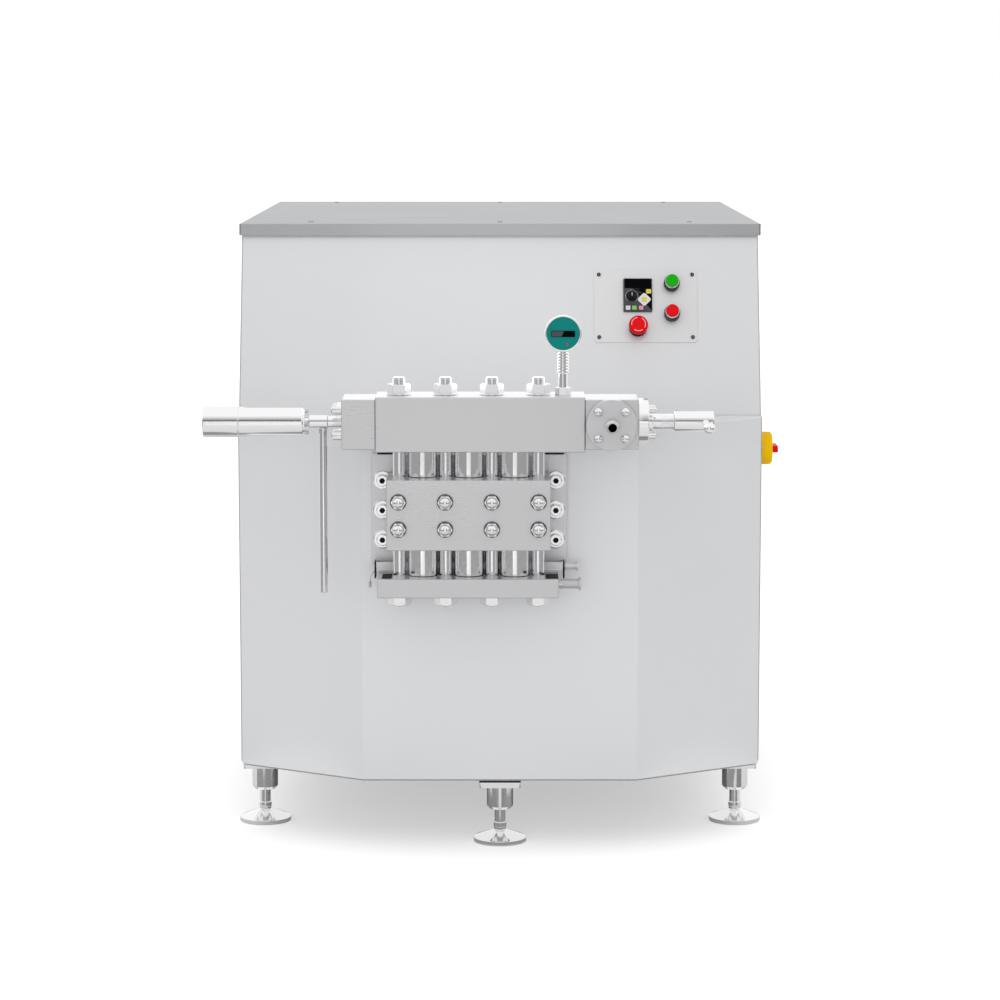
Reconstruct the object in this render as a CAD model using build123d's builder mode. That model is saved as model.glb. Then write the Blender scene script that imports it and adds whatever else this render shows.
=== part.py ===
from build123d import *
import os
from math import atan2, cos, hypot, sin

# High-pressure homogenizer, millimetres, +Z up, -Y is the front.
# The origin is on the floor under the middle of the whole machine.

# Cabinet
HALF_WIDTH = 540.0
SHEET = 2.0
BODY_BOTTOM = 147.0
SIDE_BOTTOM = 152.0
BACK = 889.0
BODY_TOP = 1262.0
COVER_HALF_WIDTH = 545.0
COVER_FRONT = -357.0
COVER_BACK = 894.0
COVER_LOW = 1240.0
COVER_TOP = 1264.0
PANEL_FOOT_Y = -478.0
PANEL_FOOT_Z = 875.0
PANEL_HEAD_Y = -349.0
PANEL_HEAD_Z = 1238.0
WING_FRONT = -505.0
NOSE_FRONT = -662.0
NOSE_HALF_WIDTH = 280.0
NOSE_TOP = 866.0
FLANGE = 20.0
BEND_RADIUS = 5.0
COVER_SCREW_X = (-400.0, 0.0, 400.0)
COVER_SCREW_Y = (-269.0, 820.0)
LOUVRE_LENGTH = 120.0
LOUVRE_HEIGHT = 12.0
LOUVRE_PITCH = 30.0
LOUVRE_ROWS = 8
GLAND_X = 380.0
GLAND_Z = 260.0
GLAND_BORE = 9.0

# Base frame and feet
FRAME_INSET = 6.0
CHANNEL_WIDTH = 60.0
CHANNEL_WALL = 6.0
FRAME_LOW = 143.0
FRAME_TOP = 190.0
CROSS_Y = (-340.0, 40.0, 560.0)
FOOT_XY = ((0.0, -580.0), (-499.0, -391.0), (499.0, -391.0), (-499.0, 780.0), (499.0, 780.0))
FOOT_NAMES = ("foot_nose", "foot_front_left", "foot_front_right", "foot_rear_left", "foot_rear_right")
FOOT_RADIUS = 54.0
SPINDLE_RADIUS = 11.0
SPINDLE_TOP = 112.0
SLEEVE_RADIUS = 27.0
SLEEVE_LOW = 69.0
SLEEVE_TOP = 119.5
SLEEVE_BEVEL = 6.5
SLEEVE_HOLE = 57.0
FOOT_PLATE = 86.0
FOOT_PLATE_THICK = 12.0
FOOT_BLOCK = 60.0
FIT_GAP = 0.05
BODY_GAP = 0.3

# Pump head
PUMP_X = -62.0
VALVE_PITCH = 92.0
VALVE_Y = -757.0
VALVE_RADIUS = 29.0
SPIGOT_RADIUS = 22.0
SPIGOT_DEPTH = 10.0
STUD_RADIUS = 13.0
STUD_END_RADIUS = 12.0
STUD_GRIP = 28.0
STUD_OFFSETS = (-138.0, -46.0, 46.0, 138.0)
NUT_FLATS = 41.0
NUT_HEIGHT = 21.5
STUD_PROUD = 35.0
LOW_STUD_PROUD = 25.0
PLATE_BACK = -662.0
PLATE_FRONT = -687.0
PLATE_HALF_WIDTH = 197.0
PLATE_LOW = 594.0
PLATE_TOP = 818.0
PLATE_SCREW_X = 174.0
PLATE_SCREW_Z = (646.0, 706.0, 766.0)
BLOCK_FRONT = -827.0
BLOCK_HALF_WIDTH = 162.0
BLOCK_LOW = 642.0
BLOCK_NECK = 9.0
BLOCK_TOP = 782.0
DOME_Z = (685.0, 739.0)
DOME_RADIUS = 15.5
SIDE_STUD_RADIUS = 9.0
SIDE_STUD_PROUD = 14.0
HEAD_FRONT = -817.0
HEAD_BACK = -697.0
MANIFOLD_LEFT = -243.0
MANIFOLD_RIGHT = 116.0
MANIFOLD_LOW = 546.0
MANIFOLD_TOP = 584.0
INLET_Z = 563.0
INLET_RADIUS = 10.0
INLET_BORE = 8.0
INLET_END = 162.0
TRAY_LEFT = -248.0
TRAY_RIGHT = 126.0
TRAY_DEPTH = 36.0
TRAY_LOW = 584.5
TRAY_HEIGHT = 20.0
TRAY_WALL = 1.5
TRAY_DRAIN_Y = -706.0
DRAIN_BORE = 6.5
DRAIN_END = 157.0
DISCHARGE_LEFT = -245.0
DISCHARGE_RIGHT = 167.0
DISCHARGE_LOW = 836.0
DISCHARGE_TOP = 945.0
EDGE = 1.5

# Plungers and crankcase
PLUNGER_Z = 712.0
PLUNGER_RADIUS = 16.0
PLUNGER_TIP = -770.0
ROD_RADIUS = 20.0
ROD_FRONT = -632.0
ROD_BACK = -470.0
STROKE_HALF = 25.0
CASE_BACK = -130.0
CASE_FRONT = -600.0
CASE_LOW = 540.0
CASE_TOP = 850.0
CASE_HALF_WIDTH = 205.0
CRANK_Y = -320.0
CRANK_Z = 690.0
SHAFT_RADIUS = 30.0
COVER_Y = -270.0
HATCH_WIDTH = 300.0
HATCH_DEPTH = 180.0
HATCH_THICK = 9.0
RIB_Y = (-520.0, -180.0)
RIB_THICK = 10.0
RIB_REACH = 9.0

# Valve stages
VALVE_AXIS_Z = 890.7
STAGE_LOW = 841.0
STAGE_TOP = 940.0
STAGE_FRONT = -812.0
FIRST_LEFT = -312.0
SECOND_RIGHT = 273.0
STEM_RADIUS = 13.3
STEM_END = -386.0
LEVER_X = -351.0
LEVER_RADIUS = 8.2
LEVER_LOW = 548.0
CYLINDER_RADIUS = 30.5
CYLINDER_END = -588.0
OUTLET_X = 219.0
OUTLET_RADIUS = 50.5
OUTLET_FRONT = -827.0
OUTLET_NOZZLE_RADIUS = 12.0
OUTLET_NOZZLE_LENGTH = 48.0
OUTLET_BORE = 8.5
BONNET_RADIUS = 46.5
BONNET_END = 293.5
BONNET_STEM_RADIUS = 17.7
HANDLE_START = 344.0
HANDLE_END = 423.0
HANDLE_RADIUS = 23.0
HANDLE_CORE = 12.0
BAR_X = 407.0
BAR_RADIUS = 6.5
BAR_HALF_LENGTH = 123.0
BALL_RADIUS = 11.5

# Gauge
GAUGE_X = 124.0
GAUGE_Y = -776.0
GAUGE_CASE_Z = 1068.5
GAUGE_RADIUS = 35.5
GAUGE_DEPTH = 34.0
FIN_LOW = 991.0
FIN_PITCH = 5.8
FIN_COUNT = 7
FIN_RADIUS = 11.5

# Drive
BELT_COUNT = 3
BELT_PITCH = 19.0
BELT_WIDTH = 12.0
BELT_DEPTH = 10.0
DRIVE_RADIUS = 200.0
MOTOR_PULLEY_RADIUS = 90.0
PULLEY_LEFT = 222.0
PULLEY_WIDTH = 64.0
MOTOR_Y = 330.0
MOTOR_Z = 415.0
MOTOR_RADIUS = 150.0
MOTOR_LEFT = -330.0
MOTOR_RIGHT = 150.0
RAIL_HEIGHT = 40.0

# Controls, placed on the leaning panel
CONTROL_X = 303.5
CONTROL_CENTRE = 233.5
CONTROL_WIDTH = 215.0
CONTROL_HEIGHT = 157.0
CONTROL_THICKNESS = 2.0
KEYPAD_AT = (-16.6, 22.2)
KEYPAD_WIDTH = 60.0
KEYPAD_HEIGHT = 71.0
KEYPAD_FACE = 9.0
DISPLAY_UP = 24.0
DISPLAY_HEIGHT = 20.0
KNOB_AT = (-12.6, -3.3)
KNOB_RADIUS = 10.8
KNOB_HEIGHT = 18.0
PAD_AT = (13.3, -10.4)
PAD_SIDE = 21.4
ENTER_SIDE = 9.0
KEYS = {
    "menu_key": (22.6, 6.9, 10.6, 9.2),
    "jog_key": (-20.4, -28.4, 9.6, 8.6),
    "run_key": (-7.4, -28.4, 9.6, 8.6),
    "stop_key": (6.6, -28.4, 9.6, 8.6),
}
KEY_DEPTH = 4.0
KEY_RISE = 1.6
KEY_TRAVEL = 1.0
BUTTON_AT = ((54.2, 46.6), (54.2, -18.0))
BUTTON_RADIUS = 13.0
BEZEL_RADIUS = 15.0
BUTTON_TOP = 32.0
BUTTON_LOW = 13.0
COLLAR_RADIUS = 16.0
COLLAR_TOP = 19.0
ESTOP_AT = (-16.7, -48.0)
ESTOP_RADIUS = 20.0
SWITCH_Y = -445.0
SWITCH_Z = 803.0
SWITCH_RADIUS = 34.0

LEAN = atan2(PANEL_HEAD_Y - PANEL_FOOT_Y, PANEL_HEAD_Z - PANEL_FOOT_Z)
VALVE_X = (PUMP_X - VALVE_PITCH, PUMP_X, PUMP_X + VALVE_PITCH)
STUD_X = tuple(PUMP_X + offset for offset in STUD_OFFSETS)


# Planes that look outward from each side, their y pointing up
def front_plane(x, y, z):
    return Plane(origin=(x, y, z), x_dir=(1, 0, 0), z_dir=(0, -1, 0))


def rear_plane(x, y, z):
    return Plane(origin=(x, y, z), x_dir=(-1, 0, 0), z_dir=(0, 1, 0))


def right_plane(x, y, z):
    return Plane(origin=(x, y, z), x_dir=(0, 1, 0), z_dir=(1, 0, 0))


def left_plane(x, y, z):
    return Plane(origin=(x, y, z), x_dir=(0, -1, 0), z_dir=(-1, 0, 0))


def control_plane(x, up, out):
    """Plane on the leaning front panel, measured from the control plate's middle."""
    along = CONTROL_CENTRE + up
    y = PANEL_FOOT_Y + along * sin(LEAN) - out * cos(LEAN)
    z = PANEL_FOOT_Z + along * cos(LEAN) + out * sin(LEAN)
    return Plane(origin=(CONTROL_X + x, y, z), x_dir=(1, 0, 0), z_dir=(0, -cos(LEAN), sin(LEAN)))


def save(builder, name):
    builder.part.label = name
    export_step(builder.part, f"parts/{name}.step")


def turned(plane, outline):
    """Solid of revolution about the plane's z axis, from (height, radius) points."""
    side = Plane(origin=plane.origin, x_dir=plane.z_dir, z_dir=-plane.y_dir)
    with BuildPart() as piece:
        with BuildSketch(side):
            with BuildLine():
                Polyline((outline[0][0], 0), *outline, (outline[-1][0], 0), close=True)
            make_face()
        revolve(axis=Axis(plane.origin, plane.z_dir))
    return piece


# Fasteners, standing on the XY plane
def cap_screw(head_radius, head_height, washer_radius, washer_height, socket):
    with BuildPart() as screw:
        if washer_radius > 0:
            Cylinder(washer_radius, washer_height, align=(Align.CENTER, Align.CENTER, Align.MIN))
        with Locations((0, 0, washer_height)):
            Cylinder(head_radius, head_height, align=(Align.CENTER, Align.CENTER, Align.MIN))
        chamfer(faces().sort_by(Axis.Z)[-1].edges(), head_height * 0.1)
        with BuildSketch(Plane.XY.offset(washer_height + head_height)):
            RegularPolygon(socket, 6)
        extrude(amount=-head_height * 0.5, mode=Mode.SUBTRACT)
    return screw


def domed_screw(radius, rim):
    """Round-headed screw: a short rim under a dome."""
    with BuildPart() as screw:
        with BuildSketch(Plane.XZ):
            with BuildLine():
                Polyline((0, rim + radius), (0, 0), (radius, 0), (radius, rim))
                CenterArc((0, rim), radius, 0, 90)
            make_face()
        revolve(axis=Axis.Z)
    return screw


def dome_nut():
    """Acorn nut: a thin collar, a hexagon and a round cap over a blind hole."""
    cap = DOME_RADIUS - 3.5
    collar = 2.0
    hexagon = 8.0
    shoulder = 11.0
    with BuildPart() as nut:
        with BuildSketch():
            Circle(DOME_RADIUS)
        extrude(amount=collar)
        with BuildSketch(Plane.XY.offset(collar)):
            RegularPolygon(cap + 0.8, 6, major_radius=False)
        extrude(amount=hexagon)
        with BuildSketch(Plane.XY.offset(collar + hexagon)):
            Circle(cap)
        extrude(amount=shoulder - collar - hexagon)
        with BuildSketch(Plane.XZ):
            with BuildLine():
                Line((0, shoulder), (cap, shoulder))
                CenterArc((0, shoulder), cap, 0, 90)
                Line((0, shoulder + cap), (0, shoulder))
            make_face()
        revolve(axis=Axis.Z)
        with BuildSketch():
            Circle(SIDE_STUD_RADIUS + FIT_GAP)
        extrude(amount=SIDE_STUD_PROUD + FIT_GAP, mode=Mode.SUBTRACT)
    return nut


def hex_nut():
    flats = NUT_FLATS / 2
    corner = flats * 1.2
    with BuildPart() as nut:
        with BuildSketch():
            RegularPolygon(flats, 6, major_radius=False)
        extrude(amount=NUT_HEIGHT)
        with BuildSketch(Plane.XZ):
            with BuildLine():
                Polyline((0, 0), (corner, 0), (corner, NUT_HEIGHT - 2.5), (flats, NUT_HEIGHT),
                         (0, NUT_HEIGHT), close=True)
            make_face()
        revolve(axis=Axis.Z, mode=Mode.INTERSECT)
        Hole(STUD_END_RADIUS + FIT_GAP)
    return nut


# Base frame: channels round the plan of the cabinet, with cross members
def plan_outline(inset):
    """Half of the plan outline, from the middle of the back to the middle of the nose."""
    slope = hypot(HALF_WIDTH - NOSE_HALF_WIDTH, NOSE_FRONT - WING_FRONT)
    lean = (HALF_WIDTH - NOSE_HALF_WIDTH) / slope
    back = (NOSE_FRONT - WING_FRONT) / slope
    wing_shift = inset * (1 + back) / lean
    nose_shift = inset * (1 - lean) / -back
    return [
        (0, BACK - inset),
        (HALF_WIDTH - inset, BACK - inset),
        (HALF_WIDTH - inset, WING_FRONT + wing_shift),
        (NOSE_HALF_WIDTH - nose_shift, NOSE_FRONT + inset),
        (0, NOSE_FRONT + inset),
    ]


def plan_face(inset):
    with BuildSketch() as plan:
        with BuildLine():
            Polyline(*plan_outline(inset), close=True)
        make_face()
        mirror(about=Plane.YZ)
    return plan.sketch


def make_base_frame():
    outer = plan_face(FRAME_INSET)
    inner = plan_face(FRAME_INSET + CHANNEL_WIDTH)
    web = plan_face(FRAME_INSET + CHANNEL_WALL)
    cross_length = 2 * (HALF_WIDTH - FRAME_INSET - CHANNEL_WIDTH)
    with BuildPart() as frame:
        with BuildSketch(Plane.XY.offset(FRAME_LOW)):
            add(outer)
            add(inner, mode=Mode.SUBTRACT)
        extrude(amount=FRAME_TOP - FRAME_LOW)
        with BuildSketch(Plane.XY.offset(FRAME_LOW + CHANNEL_WALL)):
            add(web)
            add(inner, mode=Mode.SUBTRACT)
        extrude(amount=FRAME_TOP - FRAME_LOW - 2 * CHANNEL_WALL, mode=Mode.SUBTRACT)
        for cross_y in CROSS_Y:
            with BuildSketch(right_plane(0, cross_y, (FRAME_LOW + FRAME_TOP) / 2)):
                Rectangle(CHANNEL_WIDTH, FRAME_TOP - FRAME_LOW)
                with Locations((CHANNEL_WALL, 0)):
                    Rectangle(CHANNEL_WIDTH, FRAME_TOP - FRAME_LOW - 2 * CHANNEL_WALL, mode=Mode.SUBTRACT)
            extrude(amount=cross_length / 2 + CHANNEL_WIDTH - CHANNEL_WALL, both=True)
    save(frame, "base_frame")


def make_feet():
    with BuildPart() as sleeves:
        with BuildSketch(Plane.XY.offset(SLEEVE_TOP)):
            with Locations(*FOOT_XY):
                RectangleRounded(FOOT_PLATE, FOOT_PLATE, 4)
        extrude(amount=FOOT_PLATE_THICK)
        with BuildSketch(Plane.XY.offset(SLEEVE_TOP + FOOT_PLATE_THICK)):
            with Locations(*FOOT_XY):
                Rectangle(FOOT_BLOCK, FOOT_BLOCK)
        extrude(amount=FRAME_LOW - SLEEVE_TOP - FOOT_PLATE_THICK)
        with BuildSketch(Plane.XY.offset(SLEEVE_LOW)):
            with Locations(*FOOT_XY):
                Circle(SLEEVE_RADIUS)
        extrude(amount=SLEEVE_TOP - SLEEVE_LOW)
        chamfer(edges().group_by(Axis.Z)[0], SLEEVE_BEVEL)
        with Locations(*[(x, y, SLEEVE_LOW) for x, y in FOOT_XY]):
            Cylinder(SPINDLE_RADIUS + FIT_GAP, SLEEVE_HOLE, align=(Align.CENTER, Align.CENTER, Align.MIN),
                     mode=Mode.SUBTRACT)
    save(sleeves, "foot_sleeves")
    rim = [(0, FOOT_RADIUS - 1), (1, FOOT_RADIUS), (9, FOOT_RADIUS), (10, FOOT_RADIUS - 1.5)]
    joint = [(24, 16), (25, 11), (30, 11), (31, 13), (40, 13), (41, SPINDLE_RADIUS)]
    outline = rim + joint + [(SPINDLE_TOP, SPINDLE_RADIUS)]
    for name, (x, y) in zip(FOOT_NAMES, FOOT_XY):
        save(turned(Plane(origin=(x, y, 0)), outline), name)


# Cabinet sheets
def make_lower_front_cover():
    rise = PANEL_FOOT_Z - NOSE_TOP
    run = PANEL_FOOT_Y - NOSE_FRONT
    ledge = Plane(origin=(0, NOSE_FRONT, NOSE_TOP), x_dir=(1, 0, 0), z_dir=(0, -rise, run))
    with BuildPart() as cover:
        with BuildSketch(Plane.XY.offset(BODY_BOTTOM)):
            with BuildLine():
                Polyline((-HALF_WIDTH, PANEL_FOOT_Y), (-HALF_WIDTH, WING_FRONT),
                         (-NOSE_HALF_WIDTH, NOSE_FRONT), (NOSE_HALF_WIDTH, NOSE_FRONT),
                         (HALF_WIDTH, WING_FRONT), (HALF_WIDTH, PANEL_FOOT_Y), close=True)
            make_face()
            with Locations((0, NOSE_FRONT)):
                Rectangle(2 * (HALF_WIDTH - SHEET), 2 * HALF_WIDTH, mode=Mode.INTERSECT)
        extrude(amount=PANEL_FOOT_Z - BODY_BOTTOM + SHEET)
        fillet(edges().filter_by(Axis.Z).group_by(Axis.Y)[0], BEND_RADIUS)
        split(bisect_by=ledge, keep=Keep.BOTTOM)
        open_faces = [faces().sort_by(Axis.Y)[-1], faces().sort_by(Axis.Z)[0]]
        offset(amount=-SHEET, openings=open_faces)
        with BuildSketch(front_plane(PUMP_X, NOSE_FRONT - SHEET, (PLATE_LOW + PLATE_TOP) / 2)):
            RectangleRounded(2 * PLATE_HALF_WIDTH - 54, PLATE_TOP - PLATE_LOW - 34, 12)
        extrude(amount=-3 * SHEET, mode=Mode.SUBTRACT)
    save(cover, "lower_front_cover")


def make_upper_front_panel():
    cut_width = KEYPAD_WIDTH - 6
    cut_height = KEYPAD_HEIGHT - 6
    with BuildPart() as panel:
        with BuildSketch(right_plane(0, 0, 0)):
            with BuildLine():
                Polyline((PANEL_FOOT_Y, PANEL_FOOT_Z), (PANEL_HEAD_Y, PANEL_HEAD_Z),
                         (PANEL_HEAD_Y, BODY_TOP), (PANEL_HEAD_Y + FLANGE, BODY_TOP),
                         (PANEL_HEAD_Y + FLANGE, BODY_TOP - SHEET),
                         (PANEL_HEAD_Y + SHEET, BODY_TOP - SHEET), (PANEL_HEAD_Y + SHEET, PANEL_HEAD_Z),
                         (PANEL_FOOT_Y + SHEET, PANEL_FOOT_Z), close=True)
            make_face()
        extrude(amount=HALF_WIDTH - SHEET, both=True)
        with BuildSketch(control_plane(0, 0, SHEET)):
            with Locations(KEYPAD_AT):
                Rectangle(cut_width, cut_height)
            with Locations(*BUTTON_AT, ESTOP_AT):
                Circle(BEZEL_RADIUS - 3)
        extrude(amount=-4 * SHEET, mode=Mode.SUBTRACT)
    save(panel, "upper_front_panel")


def side_outline():
    return [(WING_FRONT, SIDE_BOTTOM), (WING_FRONT, PANEL_FOOT_Z - 1.4), (PANEL_FOOT_Y, PANEL_FOOT_Z),
            (PANEL_HEAD_Y, PANEL_HEAD_Z), (PANEL_HEAD_Y, BODY_TOP), (BACK, BODY_TOP), (BACK, SIDE_BOTTOM)]


def louvre_tool():
    """One hood and its opening, on the XY plane: a rounded hood that opens downward."""
    reach = LOUVRE_HEIGHT * 0.7
    with BuildPart() as hood:
        with BuildSketch(Plane.YZ):
            with BuildLine():
                Line((-LOUVRE_HEIGHT / 2, 0), (-LOUVRE_HEIGHT / 2, reach))
                RadiusArc((-LOUVRE_HEIGHT / 2, reach), (LOUVRE_HEIGHT / 2, 0), LOUVRE_HEIGHT)
                Line((LOUVRE_HEIGHT / 2, 0), (-LOUVRE_HEIGHT / 2, 0))
            make_face()
        extrude(amount=LOUVRE_LENGTH / 2, both=True)
        offset(amount=-SHEET * 0.75, openings=[faces().sort_by(Axis.Y)[0], faces().sort_by(Axis.Z)[0]])
    return hood


def make_side_panel(name, plane, sign, columns, switch_hole):
    hood = louvre_tool()
    spots = [(sign * y, z) for y in columns for z in louvre_heights()]
    middle = (BODY_TOP + SIDE_BOTTOM) / 2
    with BuildPart() as panel:
        with BuildSketch(plane):
            with BuildLine():
                Polyline(*[(sign * y, z) for y, z in side_outline()], close=True)
            make_face()
            with Locations(*spots):
                Rectangle(LOUVRE_LENGTH - 3 * SHEET, LOUVRE_HEIGHT - 3, mode=Mode.SUBTRACT)
            if switch_hole:
                with Locations((sign * SWITCH_Y, SWITCH_Z)):
                    Circle(12, mode=Mode.SUBTRACT)
        extrude(amount=-SHEET)
        with BuildSketch(plane.offset(-SHEET)):
            with Locations((sign * (BACK - SHEET * 1.5), middle)):
                Rectangle(SHEET, BODY_TOP - SIDE_BOTTOM)
        extrude(amount=-FLANGE)
        with Locations(plane):
            with Locations(*spots):
                add(hood.part)
    save(panel, name)


def louvre_heights():
    return [420 + row * LOUVRE_PITCH for row in range(LOUVRE_ROWS)]


def make_rear_panel():
    hood = louvre_tool()
    spots = [(x, z + 300) for x in (-320, -160, 160, 320) for z in louvre_heights()]
    plane = rear_plane(0, BACK, 0)
    with BuildPart() as panel:
        with BuildSketch(plane):
            with Locations((0, (SIDE_BOTTOM + BODY_TOP) / 2)):
                Rectangle(2 * (HALF_WIDTH - SHEET), BODY_TOP - SIDE_BOTTOM)
            with Locations(*spots):
                Rectangle(LOUVRE_LENGTH - 3 * SHEET, LOUVRE_HEIGHT - 3, mode=Mode.SUBTRACT)
            with Locations((-GLAND_X, GLAND_Z)):
                Circle(12.6, mode=Mode.SUBTRACT)
        extrude(amount=-SHEET)
        with Locations(plane):
            with Locations(*spots):
                add(hood.part)
    save(panel, "rear_panel")


def make_top_cover():
    middle = (COVER_FRONT + COVER_BACK) / 2
    depth = COVER_BACK - COVER_FRONT
    with BuildPart() as cover:
        with BuildSketch(Plane.XY.offset(COVER_LOW)):
            with Locations((0, middle)):
                Rectangle(2 * COVER_HALF_WIDTH, depth)
        extrude(amount=COVER_TOP - COVER_LOW)
        fillet(edges().filter_by(Axis.Z), 2.5)
        offset(amount=-SHEET, openings=faces().sort_by(Axis.Z)[0])
    save(cover, "top_cover")


def make_cable_gland():
    outline = [(-14, 12.5), (0, 12.5), (0, 17), (6, 17), (6, 15), (12, 15), (17, 12)]
    gland = turned(rear_plane(GLAND_X, BACK, GLAND_Z), outline)
    with BuildPart() as finished:
        add(gland.part)
        with Locations(rear_plane(GLAND_X, BACK, GLAND_Z)):
            Cylinder(GLAND_BORE, 80, mode=Mode.SUBTRACT)
    save(finished, "cable_gland")


def make_panel_screws():
    screw = cap_screw(5.5, 2.4, 0, 0, 2)
    small = cap_screw(4, 2.2, 0, 0, 1.6)
    lid_spots = [(x, y, COVER_TOP) for x in COVER_SCREW_X for y in COVER_SCREW_Y]
    side_heights = (220, 700, 1180)
    with BuildPart() as screws:
        with Locations(*lid_spots):
            add(screw.part)
        with Locations(*[rear_plane(x, BACK, z) for x in (-515, 515) for z in side_heights]):
            add(screw.part)
        inset_x = CONTROL_WIDTH / 2 - 11
        inset_up = CONTROL_HEIGHT / 2 - 11
        for x in (-inset_x, inset_x):
            for up in (-inset_up, inset_up):
                with Locations(control_plane(x, up, CONTROL_THICKNESS)):
                    add(small.part)
    save(screws, "panel_screws")


# Controls
def make_control_plate():
    with BuildPart() as plate:
        with BuildSketch(control_plane(0, 0, 0)):
            RectangleRounded(CONTROL_WIDTH, CONTROL_HEIGHT, 7)
            with Locations(KEYPAD_AT):
                Rectangle(KEYPAD_WIDTH - 6, KEYPAD_HEIGHT - 6, mode=Mode.SUBTRACT)
            with Locations(*BUTTON_AT, ESTOP_AT):
                Circle(BEZEL_RADIUS - 3.5, mode=Mode.SUBTRACT)
        extrude(amount=CONTROL_THICKNESS)
    save(plate, "control_plate")


def key_pocket(width, height):
    """Pocket and key share this outline, the pocket a little larger all round."""
    return width + 2 * BODY_GAP, height + 2 * BODY_GAP


def keypad_plane(x, up, out):
    return control_plane(KEYPAD_AT[0] + x, KEYPAD_AT[1] + up, out)


def make_keypad():
    with BuildPart() as body:
        with BuildSketch(keypad_plane(0, 0, CONTROL_THICKNESS)):
            RectangleRounded(KEYPAD_WIDTH, KEYPAD_HEIGHT, 2)
        extrude(amount=KEYPAD_FACE - CONTROL_THICKNESS)
        chamfer(faces().sort_by(Axis(body.faces()[0].center(), (0, -cos(LEAN), sin(LEAN))))[-1].edges(), 1)
        with BuildSketch(keypad_plane(0, 0, CONTROL_THICKNESS)):
            RectangleRounded(KEYPAD_WIDTH - 7, KEYPAD_HEIGHT - 7, 1)
        extrude(amount=-24)
        with BuildSketch(keypad_plane(0, DISPLAY_UP, KEYPAD_FACE)):
            Rectangle(KEYPAD_WIDTH - 5, DISPLAY_HEIGHT)
        extrude(amount=-0.6, mode=Mode.SUBTRACT)
        for x, up, width, height in KEYS.values():
            with BuildSketch(keypad_plane(x, up, KEYPAD_FACE)):
                Rectangle(*key_pocket(width, height))
            extrude(amount=-KEY_DEPTH - KEY_TRAVEL - BODY_GAP, mode=Mode.SUBTRACT)
        with BuildSketch(keypad_plane(*PAD_AT, KEYPAD_FACE)):
            Rectangle(*key_pocket(PAD_SIDE, PAD_SIDE), rotation=45)
        extrude(amount=-KEY_DEPTH - KEY_TRAVEL - BODY_GAP, mode=Mode.SUBTRACT)
        with Locations(keypad_plane(*KNOB_AT, KEYPAD_FACE)):
            Cylinder(3 + FIT_GAP, 16, mode=Mode.SUBTRACT)
    save(body, "keypad_body")
    for name, (x, up, width, height) in KEYS.items():
        with BuildPart() as key:
            with BuildSketch(keypad_plane(x, up, KEYPAD_FACE - KEY_DEPTH)):
                RectangleRounded(width, height, 1.2)
            extrude(amount=KEY_DEPTH + KEY_RISE)
        save(key, name)
    with BuildPart() as pad:
        with BuildSketch(keypad_plane(*PAD_AT, KEYPAD_FACE - KEY_DEPTH)):
            RectangleRounded(PAD_SIDE, PAD_SIDE, 4, rotation=45)
            Rectangle(*key_pocket(ENTER_SIDE, ENTER_SIDE), mode=Mode.SUBTRACT)
        extrude(amount=KEY_DEPTH + KEY_RISE)
    save(pad, "arrow_pad")
    with BuildPart() as enter:
        with BuildSketch(keypad_plane(*PAD_AT, KEYPAD_FACE - KEY_DEPTH)):
            RectangleRounded(ENTER_SIDE, ENTER_SIDE, 1.2)
        extrude(amount=KEY_DEPTH + KEY_RISE + 0.4)
    save(enter, "enter_key")
    knob_base = keypad_plane(*KNOB_AT, KEYPAD_FACE)
    outline = [(-7.5, 3), (BODY_GAP, 3), (BODY_GAP, KNOB_RADIUS), (3, KNOB_RADIUS), (4, KNOB_RADIUS - 2),
               (KNOB_HEIGHT - 1, KNOB_RADIUS - 3), (KNOB_HEIGHT, KNOB_RADIUS - 4)]
    save(turned(knob_base, outline), "speed_knob")


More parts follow.
